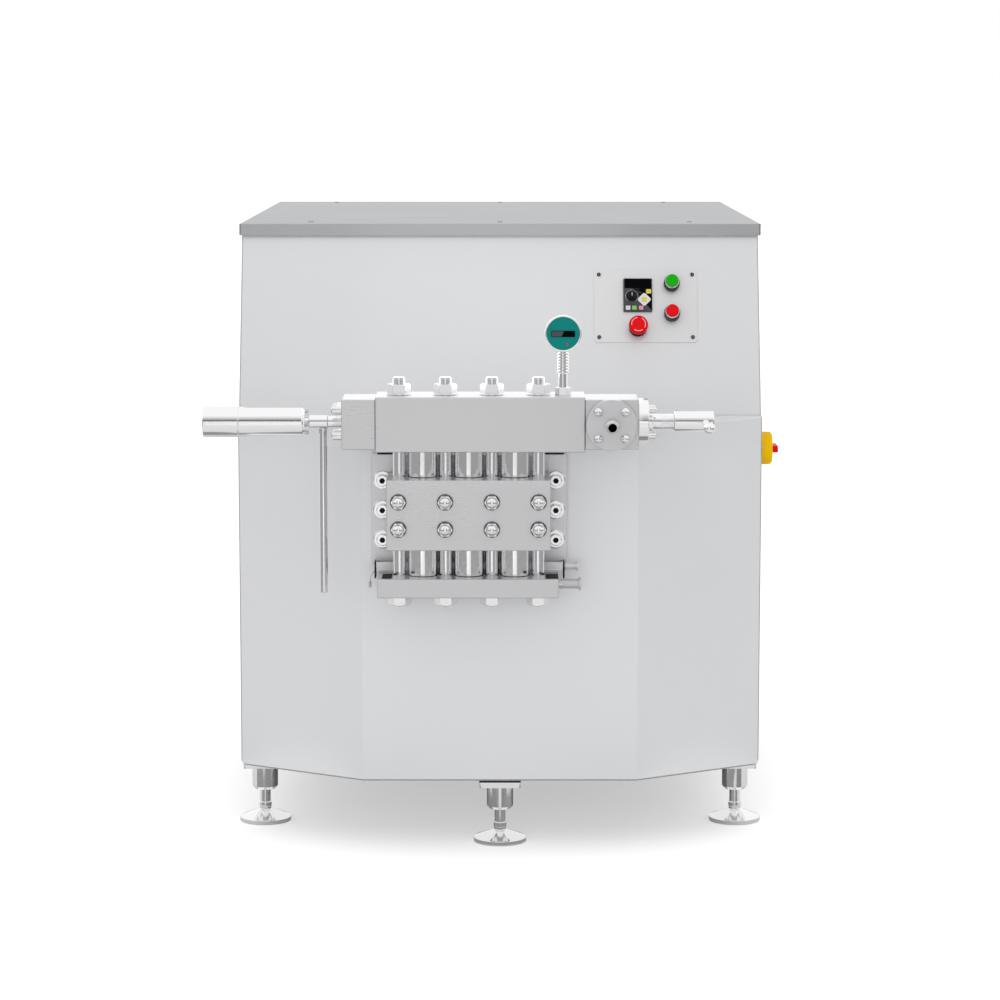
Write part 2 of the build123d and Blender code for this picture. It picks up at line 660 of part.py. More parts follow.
def make_buttons():
    pieces = []
    for x, up in BUTTON_AT:
        base = control_plane(x, up, CONTROL_THICKNESS)
        outline = [(-30, 11), (0, 11), (0, COLLAR_RADIUS), (COLLAR_TOP, COLLAR_RADIUS),
                   (COLLAR_TOP, BEZEL_RADIUS), (BUTTON_TOP - 6, BEZEL_RADIUS),
                   (BUTTON_TOP - 4, BEZEL_RADIUS - 1)]
        pieces.append(turned(base, outline))
    estop_base = control_plane(*ESTOP_AT, CONTROL_THICKNESS)
    pieces.append(turned(estop_base, [(-30, 11), (0, 11), (0, 15.5), (6, 15.5), (12, 13)]))
    with BuildPart() as bezels:
        for piece in pieces:
            add(piece.part)
        for x, up in BUTTON_AT:
            with Locations(control_plane(x, up, CONTROL_THICKNESS + BUTTON_LOW - 5)):
                Cylinder(BUTTON_RADIUS + BODY_GAP, BUTTON_TOP, mode=Mode.SUBTRACT,
                         align=(Align.CENTER, Align.CENTER, Align.MIN))
            with Locations(control_plane(x, up, -10)):
                Cylinder(5 + BODY_GAP, 60, mode=Mode.SUBTRACT)
        with Locations(control_plane(*ESTOP_AT, 0)):
            Cylinder(7 + BODY_GAP, 80, mode=Mode.SUBTRACT)
    save(bezels, "button_bezels")
    cap_outline = [(-20, 5), (BUTTON_LOW, 5), (BUTTON_LOW, BUTTON_RADIUS), (BUTTON_TOP - 1.4, BUTTON_RADIUS),
                   (BUTTON_TOP, BUTTON_RADIUS - 1)]
    for name, (x, up) in zip(("start_button", "stop_button"), BUTTON_AT):
        save(turned(control_plane(x, up, CONTROL_THICKNESS), cap_outline), name)
    save(turned(estop_base, [(-20, 7), (19, 7), (19, 4), (25, 4)]), "estop_stem")
    head = turned(estop_base, [(19.3, 9), (21, ESTOP_RADIUS - 1), (23, ESTOP_RADIUS), (27, ESTOP_RADIUS),
                               (31, ESTOP_RADIUS - 3), (33.5, ESTOP_RADIUS - 8), (34, ESTOP_RADIUS - 13)])
    with BuildPart() as mushroom:
        add(head.part)
        with Locations(control_plane(*ESTOP_AT, CONTROL_THICKNESS + 19)):
            Cylinder(4 + FIT_GAP, 12.6, mode=Mode.SUBTRACT)
    save(mushroom, "estop_head")


def make_main_switch():
    face = right_plane(HALF_WIDTH, SWITCH_Y, SWITCH_Z)
    disc = turned(face, [(-24, 9), (0, 9), (0, SWITCH_RADIUS + 1), (3, SWITCH_RADIUS + 1),
                         (3, SWITCH_RADIUS), (22, SWITCH_RADIUS - 1), (25, SWITCH_RADIUS - 4)])
    with BuildPart() as plate:
        add(disc.part)
        with Locations(face):
            Cylinder(5 + FIT_GAP, 100, mode=Mode.SUBTRACT)
    save(plate, "switch_plate")
    with BuildPart() as handle:
        with BuildSketch(right_plane(HALF_WIDTH + 25 + BODY_GAP, SWITCH_Y, SWITCH_Z)):
            SlotOverall(56, 14.5)
        extrude(amount=11.5 - BODY_GAP)
        fillet(faces().sort_by(Axis.X)[-1].edges(), 2)
        with BuildSketch(right_plane(HALF_WIDTH + 26, SWITCH_Y, SWITCH_Z)):
            Circle(5)
        extrude(amount=-40)
    save(handle, "switch_handle")


# Pump head
def make_mounting_plate():
    middle = (PLATE_LOW + PLATE_TOP) / 2
    with BuildPart() as plate:
        with BuildSketch(front_plane(PUMP_X, PLATE_BACK, middle)):
            RectangleRounded(2 * PLATE_HALF_WIDTH, PLATE_TOP - PLATE_LOW, 3)
            with Locations(*[(x - PUMP_X, PLUNGER_Z - middle) for x in VALVE_X]):
                Circle(PLUNGER_RADIUS + 6, mode=Mode.SUBTRACT)
            with Locations(*[(offset, z - middle) for offset in STUD_OFFSETS for z in DOME_Z]):
                Circle(SIDE_STUD_RADIUS + FIT_GAP, mode=Mode.SUBTRACT)
        extrude(amount=PLATE_BACK - PLATE_FRONT)
        chamfer(faces().sort_by(Axis.Y)[0].outer_wire().edges(), EDGE)
    save(plate, "mounting_plate")


def make_pump_block():
    middle = (BLOCK_LOW + BLOCK_TOP) / 2
    spot_low = [(x, VALVE_Y, BLOCK_LOW) for x in VALVE_X]
    spot_top = [(x, VALVE_Y, BLOCK_TOP) for x in VALVE_X]
    with BuildPart() as block:
        with BuildSketch(front_plane(PUMP_X, PLATE_FRONT, middle)):
            Rectangle(2 * BLOCK_HALF_WIDTH, BLOCK_TOP - BLOCK_LOW)
            with Locations(*[(offset, z - middle) for offset in STUD_OFFSETS for z in DOME_Z]):
                Circle(SIDE_STUD_RADIUS + FIT_GAP, mode=Mode.SUBTRACT)
        extrude(amount=PLATE_FRONT - BLOCK_FRONT)
        chamfer(faces().sort_by(Axis.Y)[0].outer_wire().edges(), EDGE)
        with BuildSketch(front_plane(PUMP_X, PLATE_FRONT, middle)):
            with Locations((-BLOCK_HALF_WIDTH, 0), (BLOCK_HALF_WIDTH, 0)):
                Rectangle(2 * BLOCK_NECK, BLOCK_TOP - BLOCK_LOW)
        extrude(amount=BLOCK_NECK, mode=Mode.SUBTRACT)
        with BuildSketch(front_plane(PUMP_X, PLATE_FRONT, PLUNGER_Z)):
            with Locations(*[(x - PUMP_X, 0) for x in VALVE_X]):
                Circle(PLUNGER_RADIUS + FIT_GAP)
        extrude(amount=115, mode=Mode.SUBTRACT)
        with Locations(*spot_low):
            Cylinder(SPIGOT_RADIUS + FIT_GAP, 2 * SPIGOT_DEPTH + 0.4, mode=Mode.SUBTRACT)
        with Locations(*spot_top):
            Cylinder(SPIGOT_RADIUS + FIT_GAP, 2 * SPIGOT_DEPTH + 0.4, mode=Mode.SUBTRACT)
        with Locations(*[(x, VALVE_Y, z) for x in STUD_X for z in (BLOCK_LOW, BLOCK_TOP)]):
            Cylinder(STUD_RADIUS + FIT_GAP, 2 * STUD_GRIP, mode=Mode.SUBTRACT)
    save(block, "pump_block")


def make_valve_housings():
    low_height = BLOCK_LOW - MANIFOLD_TOP
    top_height = DISCHARGE_LOW - BLOCK_TOP
    with BuildPart() as housings:
        for base, height in ((MANIFOLD_TOP, low_height), (BLOCK_TOP, top_height)):
            with BuildSketch(Plane.XY.offset(base)):
                with Locations(*[(x, VALVE_Y) for x in VALVE_X]):
                    Circle(VALVE_RADIUS)
            extrude(amount=height)
            with BuildSketch(Plane.XY.offset(base - SPIGOT_DEPTH)):
                with Locations(*[(x, VALVE_Y) for x in VALVE_X]):
                    Circle(SPIGOT_RADIUS)
            extrude(amount=height + 2 * SPIGOT_DEPTH)
    save(housings, "valve_housings")


def make_studs():
    spots = [(x, VALVE_Y) for x in STUD_X]
    low_end = MANIFOLD_LOW - LOW_STUD_PROUD
    top_end = DISCHARGE_TOP + STUD_PROUD
    with BuildPart() as studs:
        for low, high in ((MANIFOLD_TOP, BLOCK_LOW + STUD_GRIP), (BLOCK_TOP - STUD_GRIP, DISCHARGE_LOW)):
            with BuildSketch(Plane.XY.offset(low)):
                with Locations(*spots):
                    Circle(STUD_RADIUS)
            extrude(amount=high - low)
        for low, high in ((low_end, MANIFOLD_TOP), (DISCHARGE_LOW, top_end)):
            with BuildSketch(Plane.XY.offset(low)):
                with Locations(*spots):
                    Circle(STUD_END_RADIUS)
            extrude(amount=high - low)
        chamfer(edges().group_by(Axis.Z)[0] + edges().group_by(Axis.Z)[-1], EDGE)
        with BuildSketch(front_plane(PUMP_X, PLATE_BACK, 0)):
            with Locations(*[(offset, z) for offset in STUD_OFFSETS for z in DOME_Z]):
                Circle(SIDE_STUD_RADIUS)
        extrude(amount=PLATE_BACK - BLOCK_FRONT + SIDE_STUD_PROUD)
    save(studs, "tie_studs")


def make_nuts():
    dome = dome_nut()
    nut = hex_nut()
    with BuildPart() as nuts:
        with Locations(*[front_plane(x, BLOCK_FRONT, z) for x in STUD_X for z in DOME_Z]):
            add(dome.part)
        with Locations(*[(x, VALVE_Y, DISCHARGE_TOP) for x in STUD_X]):
            add(nut.part)
        with Locations(*[Plane(origin=(x, VALVE_Y, MANIFOLD_LOW), z_dir=(0, 0, -1)) for x in STUD_X]):
            add(nut.part)
    save(nuts, "head_nuts")


def make_cap_screws():
    plate_screw = cap_screw(12, 14, 17, 3, 6)
    valve_screw = cap_screw(9.4, 20.5, 0, 0, 5)
    flange_screw = domed_screw(9.3, 1.5)
    bonnet_screw = cap_screw(6.5, 15.5, 0, 0, 3.5)
    plate_spots = [front_plane(PUMP_X + sign * PLATE_SCREW_X, PLATE_FRONT, z)
                   for sign in (-1, 1) for z in PLATE_SCREW_Z]
    with BuildPart() as screws:
        with Locations(*plate_spots):
            add(plate_screw.part)
        with Locations(left_plane(FIRST_LEFT, VALVE_Y, VALVE_AXIS_Z)):
            with GridLocations(52, 52, 2, 2):
                add(valve_screw.part)
        with Locations(front_plane(OUTLET_X, OUTLET_FRONT, VALVE_AXIS_Z)):
            with GridLocations(52.6, 52.6, 2, 2):
                add(flange_screw.part)
        with Locations(right_plane(BONNET_END, VALVE_Y, VALVE_AXIS_Z)):
            with PolarLocations(36, 4, start_angle=45):
                add(bonnet_screw.part)
    save(screws, "cap_screws")


def make_suction_manifold():
    centre = ((MANIFOLD_LEFT + MANIFOLD_RIGHT) / 2, (HEAD_FRONT + HEAD_BACK) / 2)
    end = right_plane(MANIFOLD_RIGHT, VALVE_Y + 20, INLET_Z)
    length = INLET_END - MANIFOLD_RIGHT
    with BuildPart() as manifold:
        with BuildSketch(Plane.XY.offset(MANIFOLD_LOW)):
            with Locations(centre):
                Rectangle(MANIFOLD_RIGHT - MANIFOLD_LEFT, HEAD_BACK - HEAD_FRONT)
            with Locations(*[(x, VALVE_Y) for x in STUD_X]):
                Circle(STUD_END_RADIUS + FIT_GAP, mode=Mode.SUBTRACT)
        extrude(amount=MANIFOLD_TOP - MANIFOLD_LOW)
        chamfer(faces().sort_by(Axis.Y)[0].edges(), EDGE)
        with Locations(*[(x, VALVE_Y, MANIFOLD_TOP) for x in VALVE_X]):
            Cylinder(SPIGOT_RADIUS + FIT_GAP, 2 * SPIGOT_DEPTH + 0.4, mode=Mode.SUBTRACT)
        with BuildSketch(end):
            Circle(INLET_RADIUS)
        extrude(amount=length)
        with BuildSketch(right_plane(INLET_END - 5, VALVE_Y + 20, INLET_Z)):
            Circle(13.5)
        extrude(amount=5)
        with BuildSketch(right_plane(INLET_END, VALVE_Y + 20, INLET_Z)):
            Circle(INLET_BORE)
        extrude(amount=-length - 20, mode=Mode.SUBTRACT)
    save(manifold, "suction_manifold")


def make_drip_tray():
    drain_z = TRAY_LOW + TRAY_HEIGHT / 2
    with BuildPart() as tray:
        with Locations(((TRAY_LEFT + TRAY_RIGHT) / 2, PLATE_FRONT - TRAY_DEPTH / 2, TRAY_LOW)):
            Box(TRAY_RIGHT - TRAY_LEFT, TRAY_DEPTH, TRAY_HEIGHT,
                align=(Align.CENTER, Align.CENTER, Align.MIN))
        offset(amount=-TRAY_WALL, openings=faces().sort_by(Axis.Z)[-1])
        with BuildSketch(right_plane(TRAY_RIGHT, TRAY_DRAIN_Y, drain_z)):
            Circle(DRAIN_BORE + 1.5)
        extrude(amount=DRAIN_END - TRAY_RIGHT)
        with BuildSketch(right_plane(DRAIN_END - 4, TRAY_DRAIN_Y, drain_z)):
            Circle(DRAIN_BORE + 4.5)
        extrude(amount=4)
        with BuildSketch(right_plane(DRAIN_END, TRAY_DRAIN_Y, drain_z)):
            Circle(DRAIN_BORE)
        extrude(amount=-(DRAIN_END - TRAY_RIGHT + 2 * TRAY_WALL), mode=Mode.SUBTRACT)
    save(tray, "drip_tray")


def make_discharge_block():
    centre = ((DISCHARGE_LEFT + DISCHARGE_RIGHT) / 2, (HEAD_FRONT + HEAD_BACK) / 2)
    with BuildPart() as block:
        with BuildSketch(Plane.XY.offset(DISCHARGE_LOW)):
            with Locations(centre):
                Rectangle(DISCHARGE_RIGHT - DISCHARGE_LEFT, HEAD_BACK - HEAD_FRONT)
            with Locations(*[(x, VALVE_Y) for x in STUD_X]):
                Circle(STUD_END_RADIUS + FIT_GAP, mode=Mode.SUBTRACT)
        extrude(amount=DISCHARGE_TOP - DISCHARGE_LOW)
        chamfer(faces().sort_by(Axis.Y)[0].edges(), EDGE)
        with Locations(*[(x, VALVE_Y, DISCHARGE_LOW) for x in VALVE_X]):
            Cylinder(SPIGOT_RADIUS + FIT_GAP, 2 * SPIGOT_DEPTH + 0.4, mode=Mode.SUBTRACT)
        with Locations((GAUGE_X, GAUGE_Y, DISCHARGE_TOP)):
            Cylinder(8 + FIT_GAP, 24.4, mode=Mode.SUBTRACT)
    save(block, "discharge_block")


# Valve stages
def make_first_stage():
    depth = HEAD_BACK - STAGE_FRONT
    root = STEM_RADIUS - 3
    core = STEM_RADIUS - 5
    with BuildPart() as block:
        with BuildSketch(Plane.XY.offset(STAGE_LOW)):
            with Locations(((FIRST_LEFT + DISCHARGE_LEFT) / 2, HEAD_BACK - depth / 2)):
                Rectangle(DISCHARGE_LEFT - FIRST_LEFT, depth)
        extrude(amount=STAGE_TOP - STAGE_LOW)
        chamfer(faces().sort_by(Axis.Y)[0].edges() + faces().sort_by(Axis.X)[0].edges(), EDGE)
        with Locations(left_plane(FIRST_LEFT, VALVE_Y, VALVE_AXIS_Z)):
            Cylinder(root + FIT_GAP, 60.4, mode=Mode.SUBTRACT)
    save(block, "first_stage_block")
    axis = left_plane(FIRST_LEFT, VALVE_Y, VALVE_AXIS_Z)
    hub_start = 29.0
    hub_end = 66.0
    total = FIRST_LEFT - STEM_END
    stem = [(-30, root), (0, root), (0, STEM_RADIUS), (hub_start - BODY_GAP, STEM_RADIUS),
            (hub_start - BODY_GAP, core), (hub_end + BODY_GAP, core), (hub_end + BODY_GAP, root),
            (total, root), (total, core), (total + 20, core)]
    save(turned(axis, stem), "first_stage_stem")
    with BuildPart() as lever:
        with BuildSketch(left_plane(FIRST_LEFT - hub_start, VALVE_Y, VALVE_AXIS_Z)):
            Circle(STEM_RADIUS + 1.2)
        extrude(amount=hub_end - hub_start)
        chamfer(edges().group_by(Axis.X)[0] + edges().group_by(Axis.X)[-1], 1)
        with BuildSketch(Plane(origin=(LEVER_X, VALVE_Y, LEVER_LOW))):
            Circle(LEVER_RADIUS)
        extrude(amount=VALVE_AXIS_Z - LEVER_LOW)
        chamfer(edges().group_by(Axis.Z)[0], EDGE)
        with Locations(left_plane(LEVER_X, VALVE_Y, VALVE_AXIS_Z)):
            Cylinder(core + FIT_GAP, 120, mode=Mode.SUBTRACT)
    save(lever, "pressure_lever")
    length = STEM_END - CYLINDER_END
    groove = STEM_END + 517
    bottom = CYLINDER_RADIUS - 1
    barrel = [(0, CYLINDER_RADIUS - 4), (3, CYLINDER_RADIUS - 4), (3, CYLINDER_RADIUS - 1.5),
              (6, CYLINDER_RADIUS), (groove - 1, CYLINDER_RADIUS), (groove - 1, bottom),
              (groove + 1, bottom), (groove + 1, CYLINDER_RADIUS), (length - 1.5, CYLINDER_RADIUS),
              (length, CYLINDER_RADIUS - 1.5)]
    shell = turned(left_plane(STEM_END, VALVE_Y, VALVE_AXIS_Z), barrel)
    with BuildPart() as cylinder:
        add(shell.part)
        with Locations(left_plane(STEM_END, VALVE_Y, VALVE_AXIS_Z)):
            Cylinder(core + FIT_GAP, 2 * 20.5, mode=Mode.SUBTRACT)
    save(cylinder, "spring_cylinder")


def make_second_stage():
    depth = HEAD_BACK - STAGE_FRONT
    front = front_plane(OUTLET_X, STAGE_FRONT, VALVE_AXIS_Z)
    side = right_plane(SECOND_RIGHT, VALVE_Y, VALVE_AXIS_Z)
    with BuildPart() as block:
        with BuildSketch(Plane.XY.offset(STAGE_LOW)):
            with Locations(((DISCHARGE_RIGHT + SECOND_RIGHT) / 2, HEAD_BACK - depth / 2)):
                Rectangle(SECOND_RIGHT - DISCHARGE_RIGHT, depth)
        extrude(amount=STAGE_TOP - STAGE_LOW)
        chamfer(faces().sort_by(Axis.Y)[0].edges() + faces().sort_by(Axis.X)[-1].edges(), EDGE)
        with Locations(side):
            Cylinder(BONNET_STEM_RADIUS + FIT_GAP, 30.4, mode=Mode.SUBTRACT)
    save(block, "second_stage_block")
    flange_outline = [(0, OUTLET_RADIUS), (STAGE_FRONT - OUTLET_FRONT - 1, OUTLET_RADIUS),
                      (STAGE_FRONT - OUTLET_FRONT, OUTLET_RADIUS - 1)]
    nozzle_start = STAGE_FRONT - OUTLET_FRONT
    nozzle = [(0, OUTLET_NOZZLE_RADIUS), (OUTLET_NOZZLE_LENGTH - 6, OUTLET_NOZZLE_RADIUS),
              (OUTLET_NOZZLE_LENGTH, OUTLET_NOZZLE_RADIUS - 2.5)]
    disc = turned(front, flange_outline)
    spout = turned(front_plane(OUTLET_X, STAGE_FRONT - nozzle_start, VALVE_AXIS_Z), nozzle)
    with BuildPart() as outlet:
        add(disc.part)
        add(spout.part)
        with BuildSketch(front):
            Circle(OUTLET_BORE)
        extrude(amount=nozzle_start + OUTLET_NOZZLE_LENGTH, mode=Mode.SUBTRACT)
    save(outlet, "outlet_flange")
    disc_thick = BONNET_END - SECOND_RIGHT
    reach = HANDLE_START - SECOND_RIGHT
    bonnet = [(-15, BONNET_STEM_RADIUS), (0, BONNET_STEM_RADIUS), (0, BONNET_RADIUS - 1),
              (1, BONNET_RADIUS), (disc_thick - 1, BONNET_RADIUS), (disc_thick, BONNET_RADIUS - 1),
              (disc_thick, BONNET_STEM_RADIUS), (reach, BONNET_STEM_RADIUS), (reach, HANDLE_CORE),
              (reach + 40, HANDLE_CORE)]
    save(turned(side, bonnet), "second_stage_bonnet")
    length = HANDLE_END - HANDLE_START
    hub = turned(right_plane(HANDLE_START, VALVE_Y, VALVE_AXIS_Z),
                 [(BODY_GAP, HANDLE_RADIUS - 1), (1.5, HANDLE_RADIUS), (length - 2, HANDLE_RADIUS),
                  (length, HANDLE_RADIUS - 2)])
    bar_end = BAR_HALF_LENGTH - BALL_RADIUS * 0.6
    with BuildPart() as handle:
        add(hub.part)
        with BuildSketch(front_plane(BAR_X, VALVE_Y, VALVE_AXIS_Z)):
            Circle(BAR_RADIUS)
        extrude(amount=bar_end, both=True)
        with Locations(*[(BAR_X, VALVE_Y + sign * BAR_HALF_LENGTH, VALVE_AXIS_Z) for sign in (-1, 1)]):
            Sphere(BALL_RADIUS)
        with Locations(right_plane(HANDLE_START, VALVE_Y, VALVE_AXIS_Z)):
            Cylinder(HANDLE_CORE + FIT_GAP, 2 * 40.5, mode=Mode.SUBTRACT)
    save(handle, "t_handle")


# Gauge
def make_gauge():
    foot = Plane(origin=(GAUGE_X, GAUGE_Y, DISCHARGE_TOP))
    fins = []
    for fin in range(FIN_COUNT):
        low = FIN_LOW - DISCHARGE_TOP + fin * FIN_PITCH
        fins += [(low, 7), (low, FIN_RADIUS), (low + 3, FIN_RADIUS), (low + 3, 7)]
    top = GAUGE_CASE_Z - GAUGE_RADIUS - DISCHARGE_TOP + 1.5
    outline = [(-12, 8), (0, 8), (0, 8.5), (FIN_LOW - DISCHARGE_TOP - 3, 8.5)] + fins + [(top, 7)]
    tube = turned(foot, outline)
    with BuildPart() as stem:
        add(tube.part)
        with BuildSketch(foot):
            RegularPolygon(13.5, 6, major_radius=False)
        extrude(amount=16)
    save(stem, "gauge_stem")
    front = front_plane(GAUGE_X, GAUGE_Y - GAUGE_DEPTH / 2, GAUGE_CASE_Z)
    case_outline = [(-GAUGE_DEPTH, GAUGE_RADIUS - 5), (-GAUGE_DEPTH + 3, GAUGE_RADIUS - 2),
                    (-8, GAUGE_RADIUS - 2), (-8, GAUGE_RADIUS), (-1, GAUGE_RADIUS),
                    (0, GAUGE_RADIUS - 1)]
    drum = turned(front, case_outline)
    with BuildPart() as case:
        add(drum.part)
        with Locations((GAUGE_X, GAUGE_Y, DISCHARGE_TOP + top)):
            Cylinder(7 + FIT_GAP, 12, align=(Align.CENTER, Align.CENTER, Align.MAX), mode=Mode.SUBTRACT)
        with BuildSketch(front):
            Circle(GAUGE_RADIUS - 3)
        extrude(amount=-2, mode=Mode.SUBTRACT)
    save(case, "gauge_case")
    with BuildPart() as face:
        with BuildSketch(front_plane(GAUGE_X, GAUGE_Y - GAUGE_DEPTH / 2 + 2, GAUGE_CASE_Z)):
            Circle(GAUGE_RADIUS - 3 - FIT_GAP)
        extrude(amount=1.5)
    save(face, "gauge_face")


# Power end inside the cabinet
def make_crankcase():
    middle = (PLATE_LOW + PLATE_TOP) / 2
    height = CASE_TOP - CASE_LOW
    left = PUMP_X - CASE_HALF_WIDTH
    with BuildPart() as case:
        with BuildSketch(Plane.XY.offset(CASE_LOW)):
            with Locations((PUMP_X, (CASE_BACK + CASE_FRONT) / 2)):
                RectangleRounded(2 * CASE_HALF_WIDTH, CASE_BACK - CASE_FRONT, 30)
        extrude(amount=height)
        fillet(faces().sort_by(Axis.Z)[-1].edges(), 12)
        with BuildSketch(Plane.XY.offset(CASE_TOP)):
            with Locations((PUMP_X, COVER_Y)):
                RectangleRounded(HATCH_WIDTH, HATCH_DEPTH, 20)
        extrude(amount=HATCH_THICK)
        with BuildSketch(Plane.XY.offset(CASE_TOP + HATCH_THICK)):
            with Locations((PUMP_X, COVER_Y)):
                with GridLocations(HATCH_WIDTH / 2 - 16, HATCH_DEPTH - 32, 3, 2):
                    RegularPolygon(8, 6, major_radius=False)
                Circle(24)
        extrude(amount=6)
        with BuildSketch(left_plane(left, COVER_Y, CRANK_Z)):
            Circle(26)
            Circle(18, mode=Mode.SUBTRACT)
        extrude(amount=8)
        for rib_y in RIB_Y:
            with BuildSketch(right_plane(PUMP_X, rib_y, (CASE_LOW + CASE_TOP) / 2)):
                Rectangle(RIB_THICK, height - 60)
            extrude(amount=CASE_HALF_WIDTH + RIB_REACH, both=True)
        with BuildSketch(front_plane(PUMP_X, CASE_FRONT + 20, middle)):
            RectangleRounded(2 * PLATE_HALF_WIDTH - 60, PLATE_TOP - PLATE_LOW - 40, 10)
        extrude(amount=CASE_FRONT + 20 - PLATE_BACK)
        with BuildSketch(Plane.XY.offset(FRAME_TOP)):
            with Locations((PUMP_X, CROSS_Y[0])):
                Rectangle(2 * CASE_HALF_WIDTH + 60, 110)
        extrude(amount=20)
        with BuildSketch(Plane.XY.offset(FRAME_TOP)):
            with Locations((PUMP_X, CROSS_Y[0])):
                RectangleRounded(2 * CASE_HALF_WIDTH - 60, 90, 10)
        extrude(amount=CASE_LOW - FRAME_TOP + 5)
        with BuildSketch(front_plane(PUMP_X, PLATE_BACK, PLUNGER_Z)):
            with Locations(*[(x - PUMP_X, 0) for x in VALVE_X]):
                Circle(ROD_RADIUS + FIT_GAP)
        extrude(amount=-(ROD_BACK + STROKE_HALF + 8 - PLATE_BACK), mode=Mode.SUBTRACT)
        with BuildSketch(right_plane(PUMP_X + CASE_HALF_WIDTH - 5, CRANK_Y, CRANK_Z)):
            Circle(90)
        extrude(amount=20)
        with Locations(right_plane(PUMP_X + CASE_HALF_WIDTH, CRANK_Y, CRANK_Z)):
            Cylinder(SHAFT_RADIUS + FIT_GAP, 100, mode=Mode.SUBTRACT)
    save(case, "crankcase")


def make_plungers():
    outline = [(0, PLUNGER_RADIUS - 1), (1, PLUNGER_RADIUS), (ROD_FRONT - PLUNGER_TIP, PLUNGER_RADIUS),
               (ROD_FRONT - PLUNGER_TIP, ROD_RADIUS), (ROD_BACK - PLUNGER_TIP, ROD_RADIUS)]
    for number, x in enumerate(VALVE_X, start=1):
        save(turned(rear_plane(x, PLUNGER_TIP, PLUNGER_Z), outline), f"plunger_{number}")


def belt_centres():
    middle = PULLEY_WIDTH / 2
    return [middle + (index - (BELT_COUNT - 1) / 2) * BELT_PITCH for index in range(BELT_COUNT)]


def pulley_outline(radius, shaft_radius, shaft_length):
    """Grooved rim from the shaft's far end to the pulley's outer face."""
    groove = BELT_WIDTH / 2 + BODY_GAP
    points = [(-shaft_length, shaft_radius), (0, shaft_radius), (0, radius)]
    for centre in belt_centres():
        points += [(centre - groove, radius), (centre - groove, radius - BELT_DEPTH - 2),
                   (centre + groove, radius - BELT_DEPTH - 2), (centre + groove, radius)]
    return points + [(PULLEY_WIDTH, radius)]


def make_drive():
    crank = right_plane(PULLEY_LEFT, CRANK_Y, CRANK_Z)
    shaft_gap = PULLEY_LEFT - (PUMP_X + CASE_HALF_WIDTH)
    rim = turned(crank, pulley_outline(DRIVE_RADIUS, SHAFT_RADIUS, shaft_gap + 48))
    with BuildPart() as pulley:
        add(rim.part)
        for offset_x in (0, PULLEY_WIDTH):
            with BuildSketch(right_plane(PULLEY_LEFT + offset_x, CRANK_Y, CRANK_Z)):
                Circle(DRIVE_RADIUS - 28)
                Circle(62, mode=Mode.SUBTRACT)
            extrude(amount=20 if offset_x == 0 else -20, mode=Mode.SUBTRACT)
        with Locations(right_plane(PULLEY_LEFT, CRANK_Y, CRANK_Z)):
            with PolarLocations(117, 6):
                Cylinder(32, 300, mode=Mode.SUBTRACT)
    save(pulley, "drive_pulley")
    motor_axis = right_plane(PULLEY_LEFT, MOTOR_Y, MOTOR_Z)
    reach = PULLEY_LEFT - MOTOR_RIGHT
    save(turned(motor_axis, pulley_outline(MOTOR_PULLEY_RADIUS, 24, reach + 30)), "motor_pulley")
    with BuildPart() as belts:
        for centre in belt_centres():
            with BuildSketch(right_plane(PULLEY_LEFT + centre - BELT_WIDTH / 2, 0, 0)):
                add(belt_loop(0))
                add(belt_loop(BELT_DEPTH), mode=Mode.SUBTRACT)
            extrude(amount=BELT_WIDTH)
    save(belts, "drive_belts")


def belt_loop(depth):
    """Outline round both pulleys, in (y, z)."""
    with BuildSketch() as loop:
        with Locations((CRANK_Y, CRANK_Z)):
            Circle(DRIVE_RADIUS + 1 - depth)
        with Locations((MOTOR_Y, MOTOR_Z)):
            Circle(MOTOR_PULLEY_RADIUS + 1 - depth)
        make_hull()
    return loop.sketch


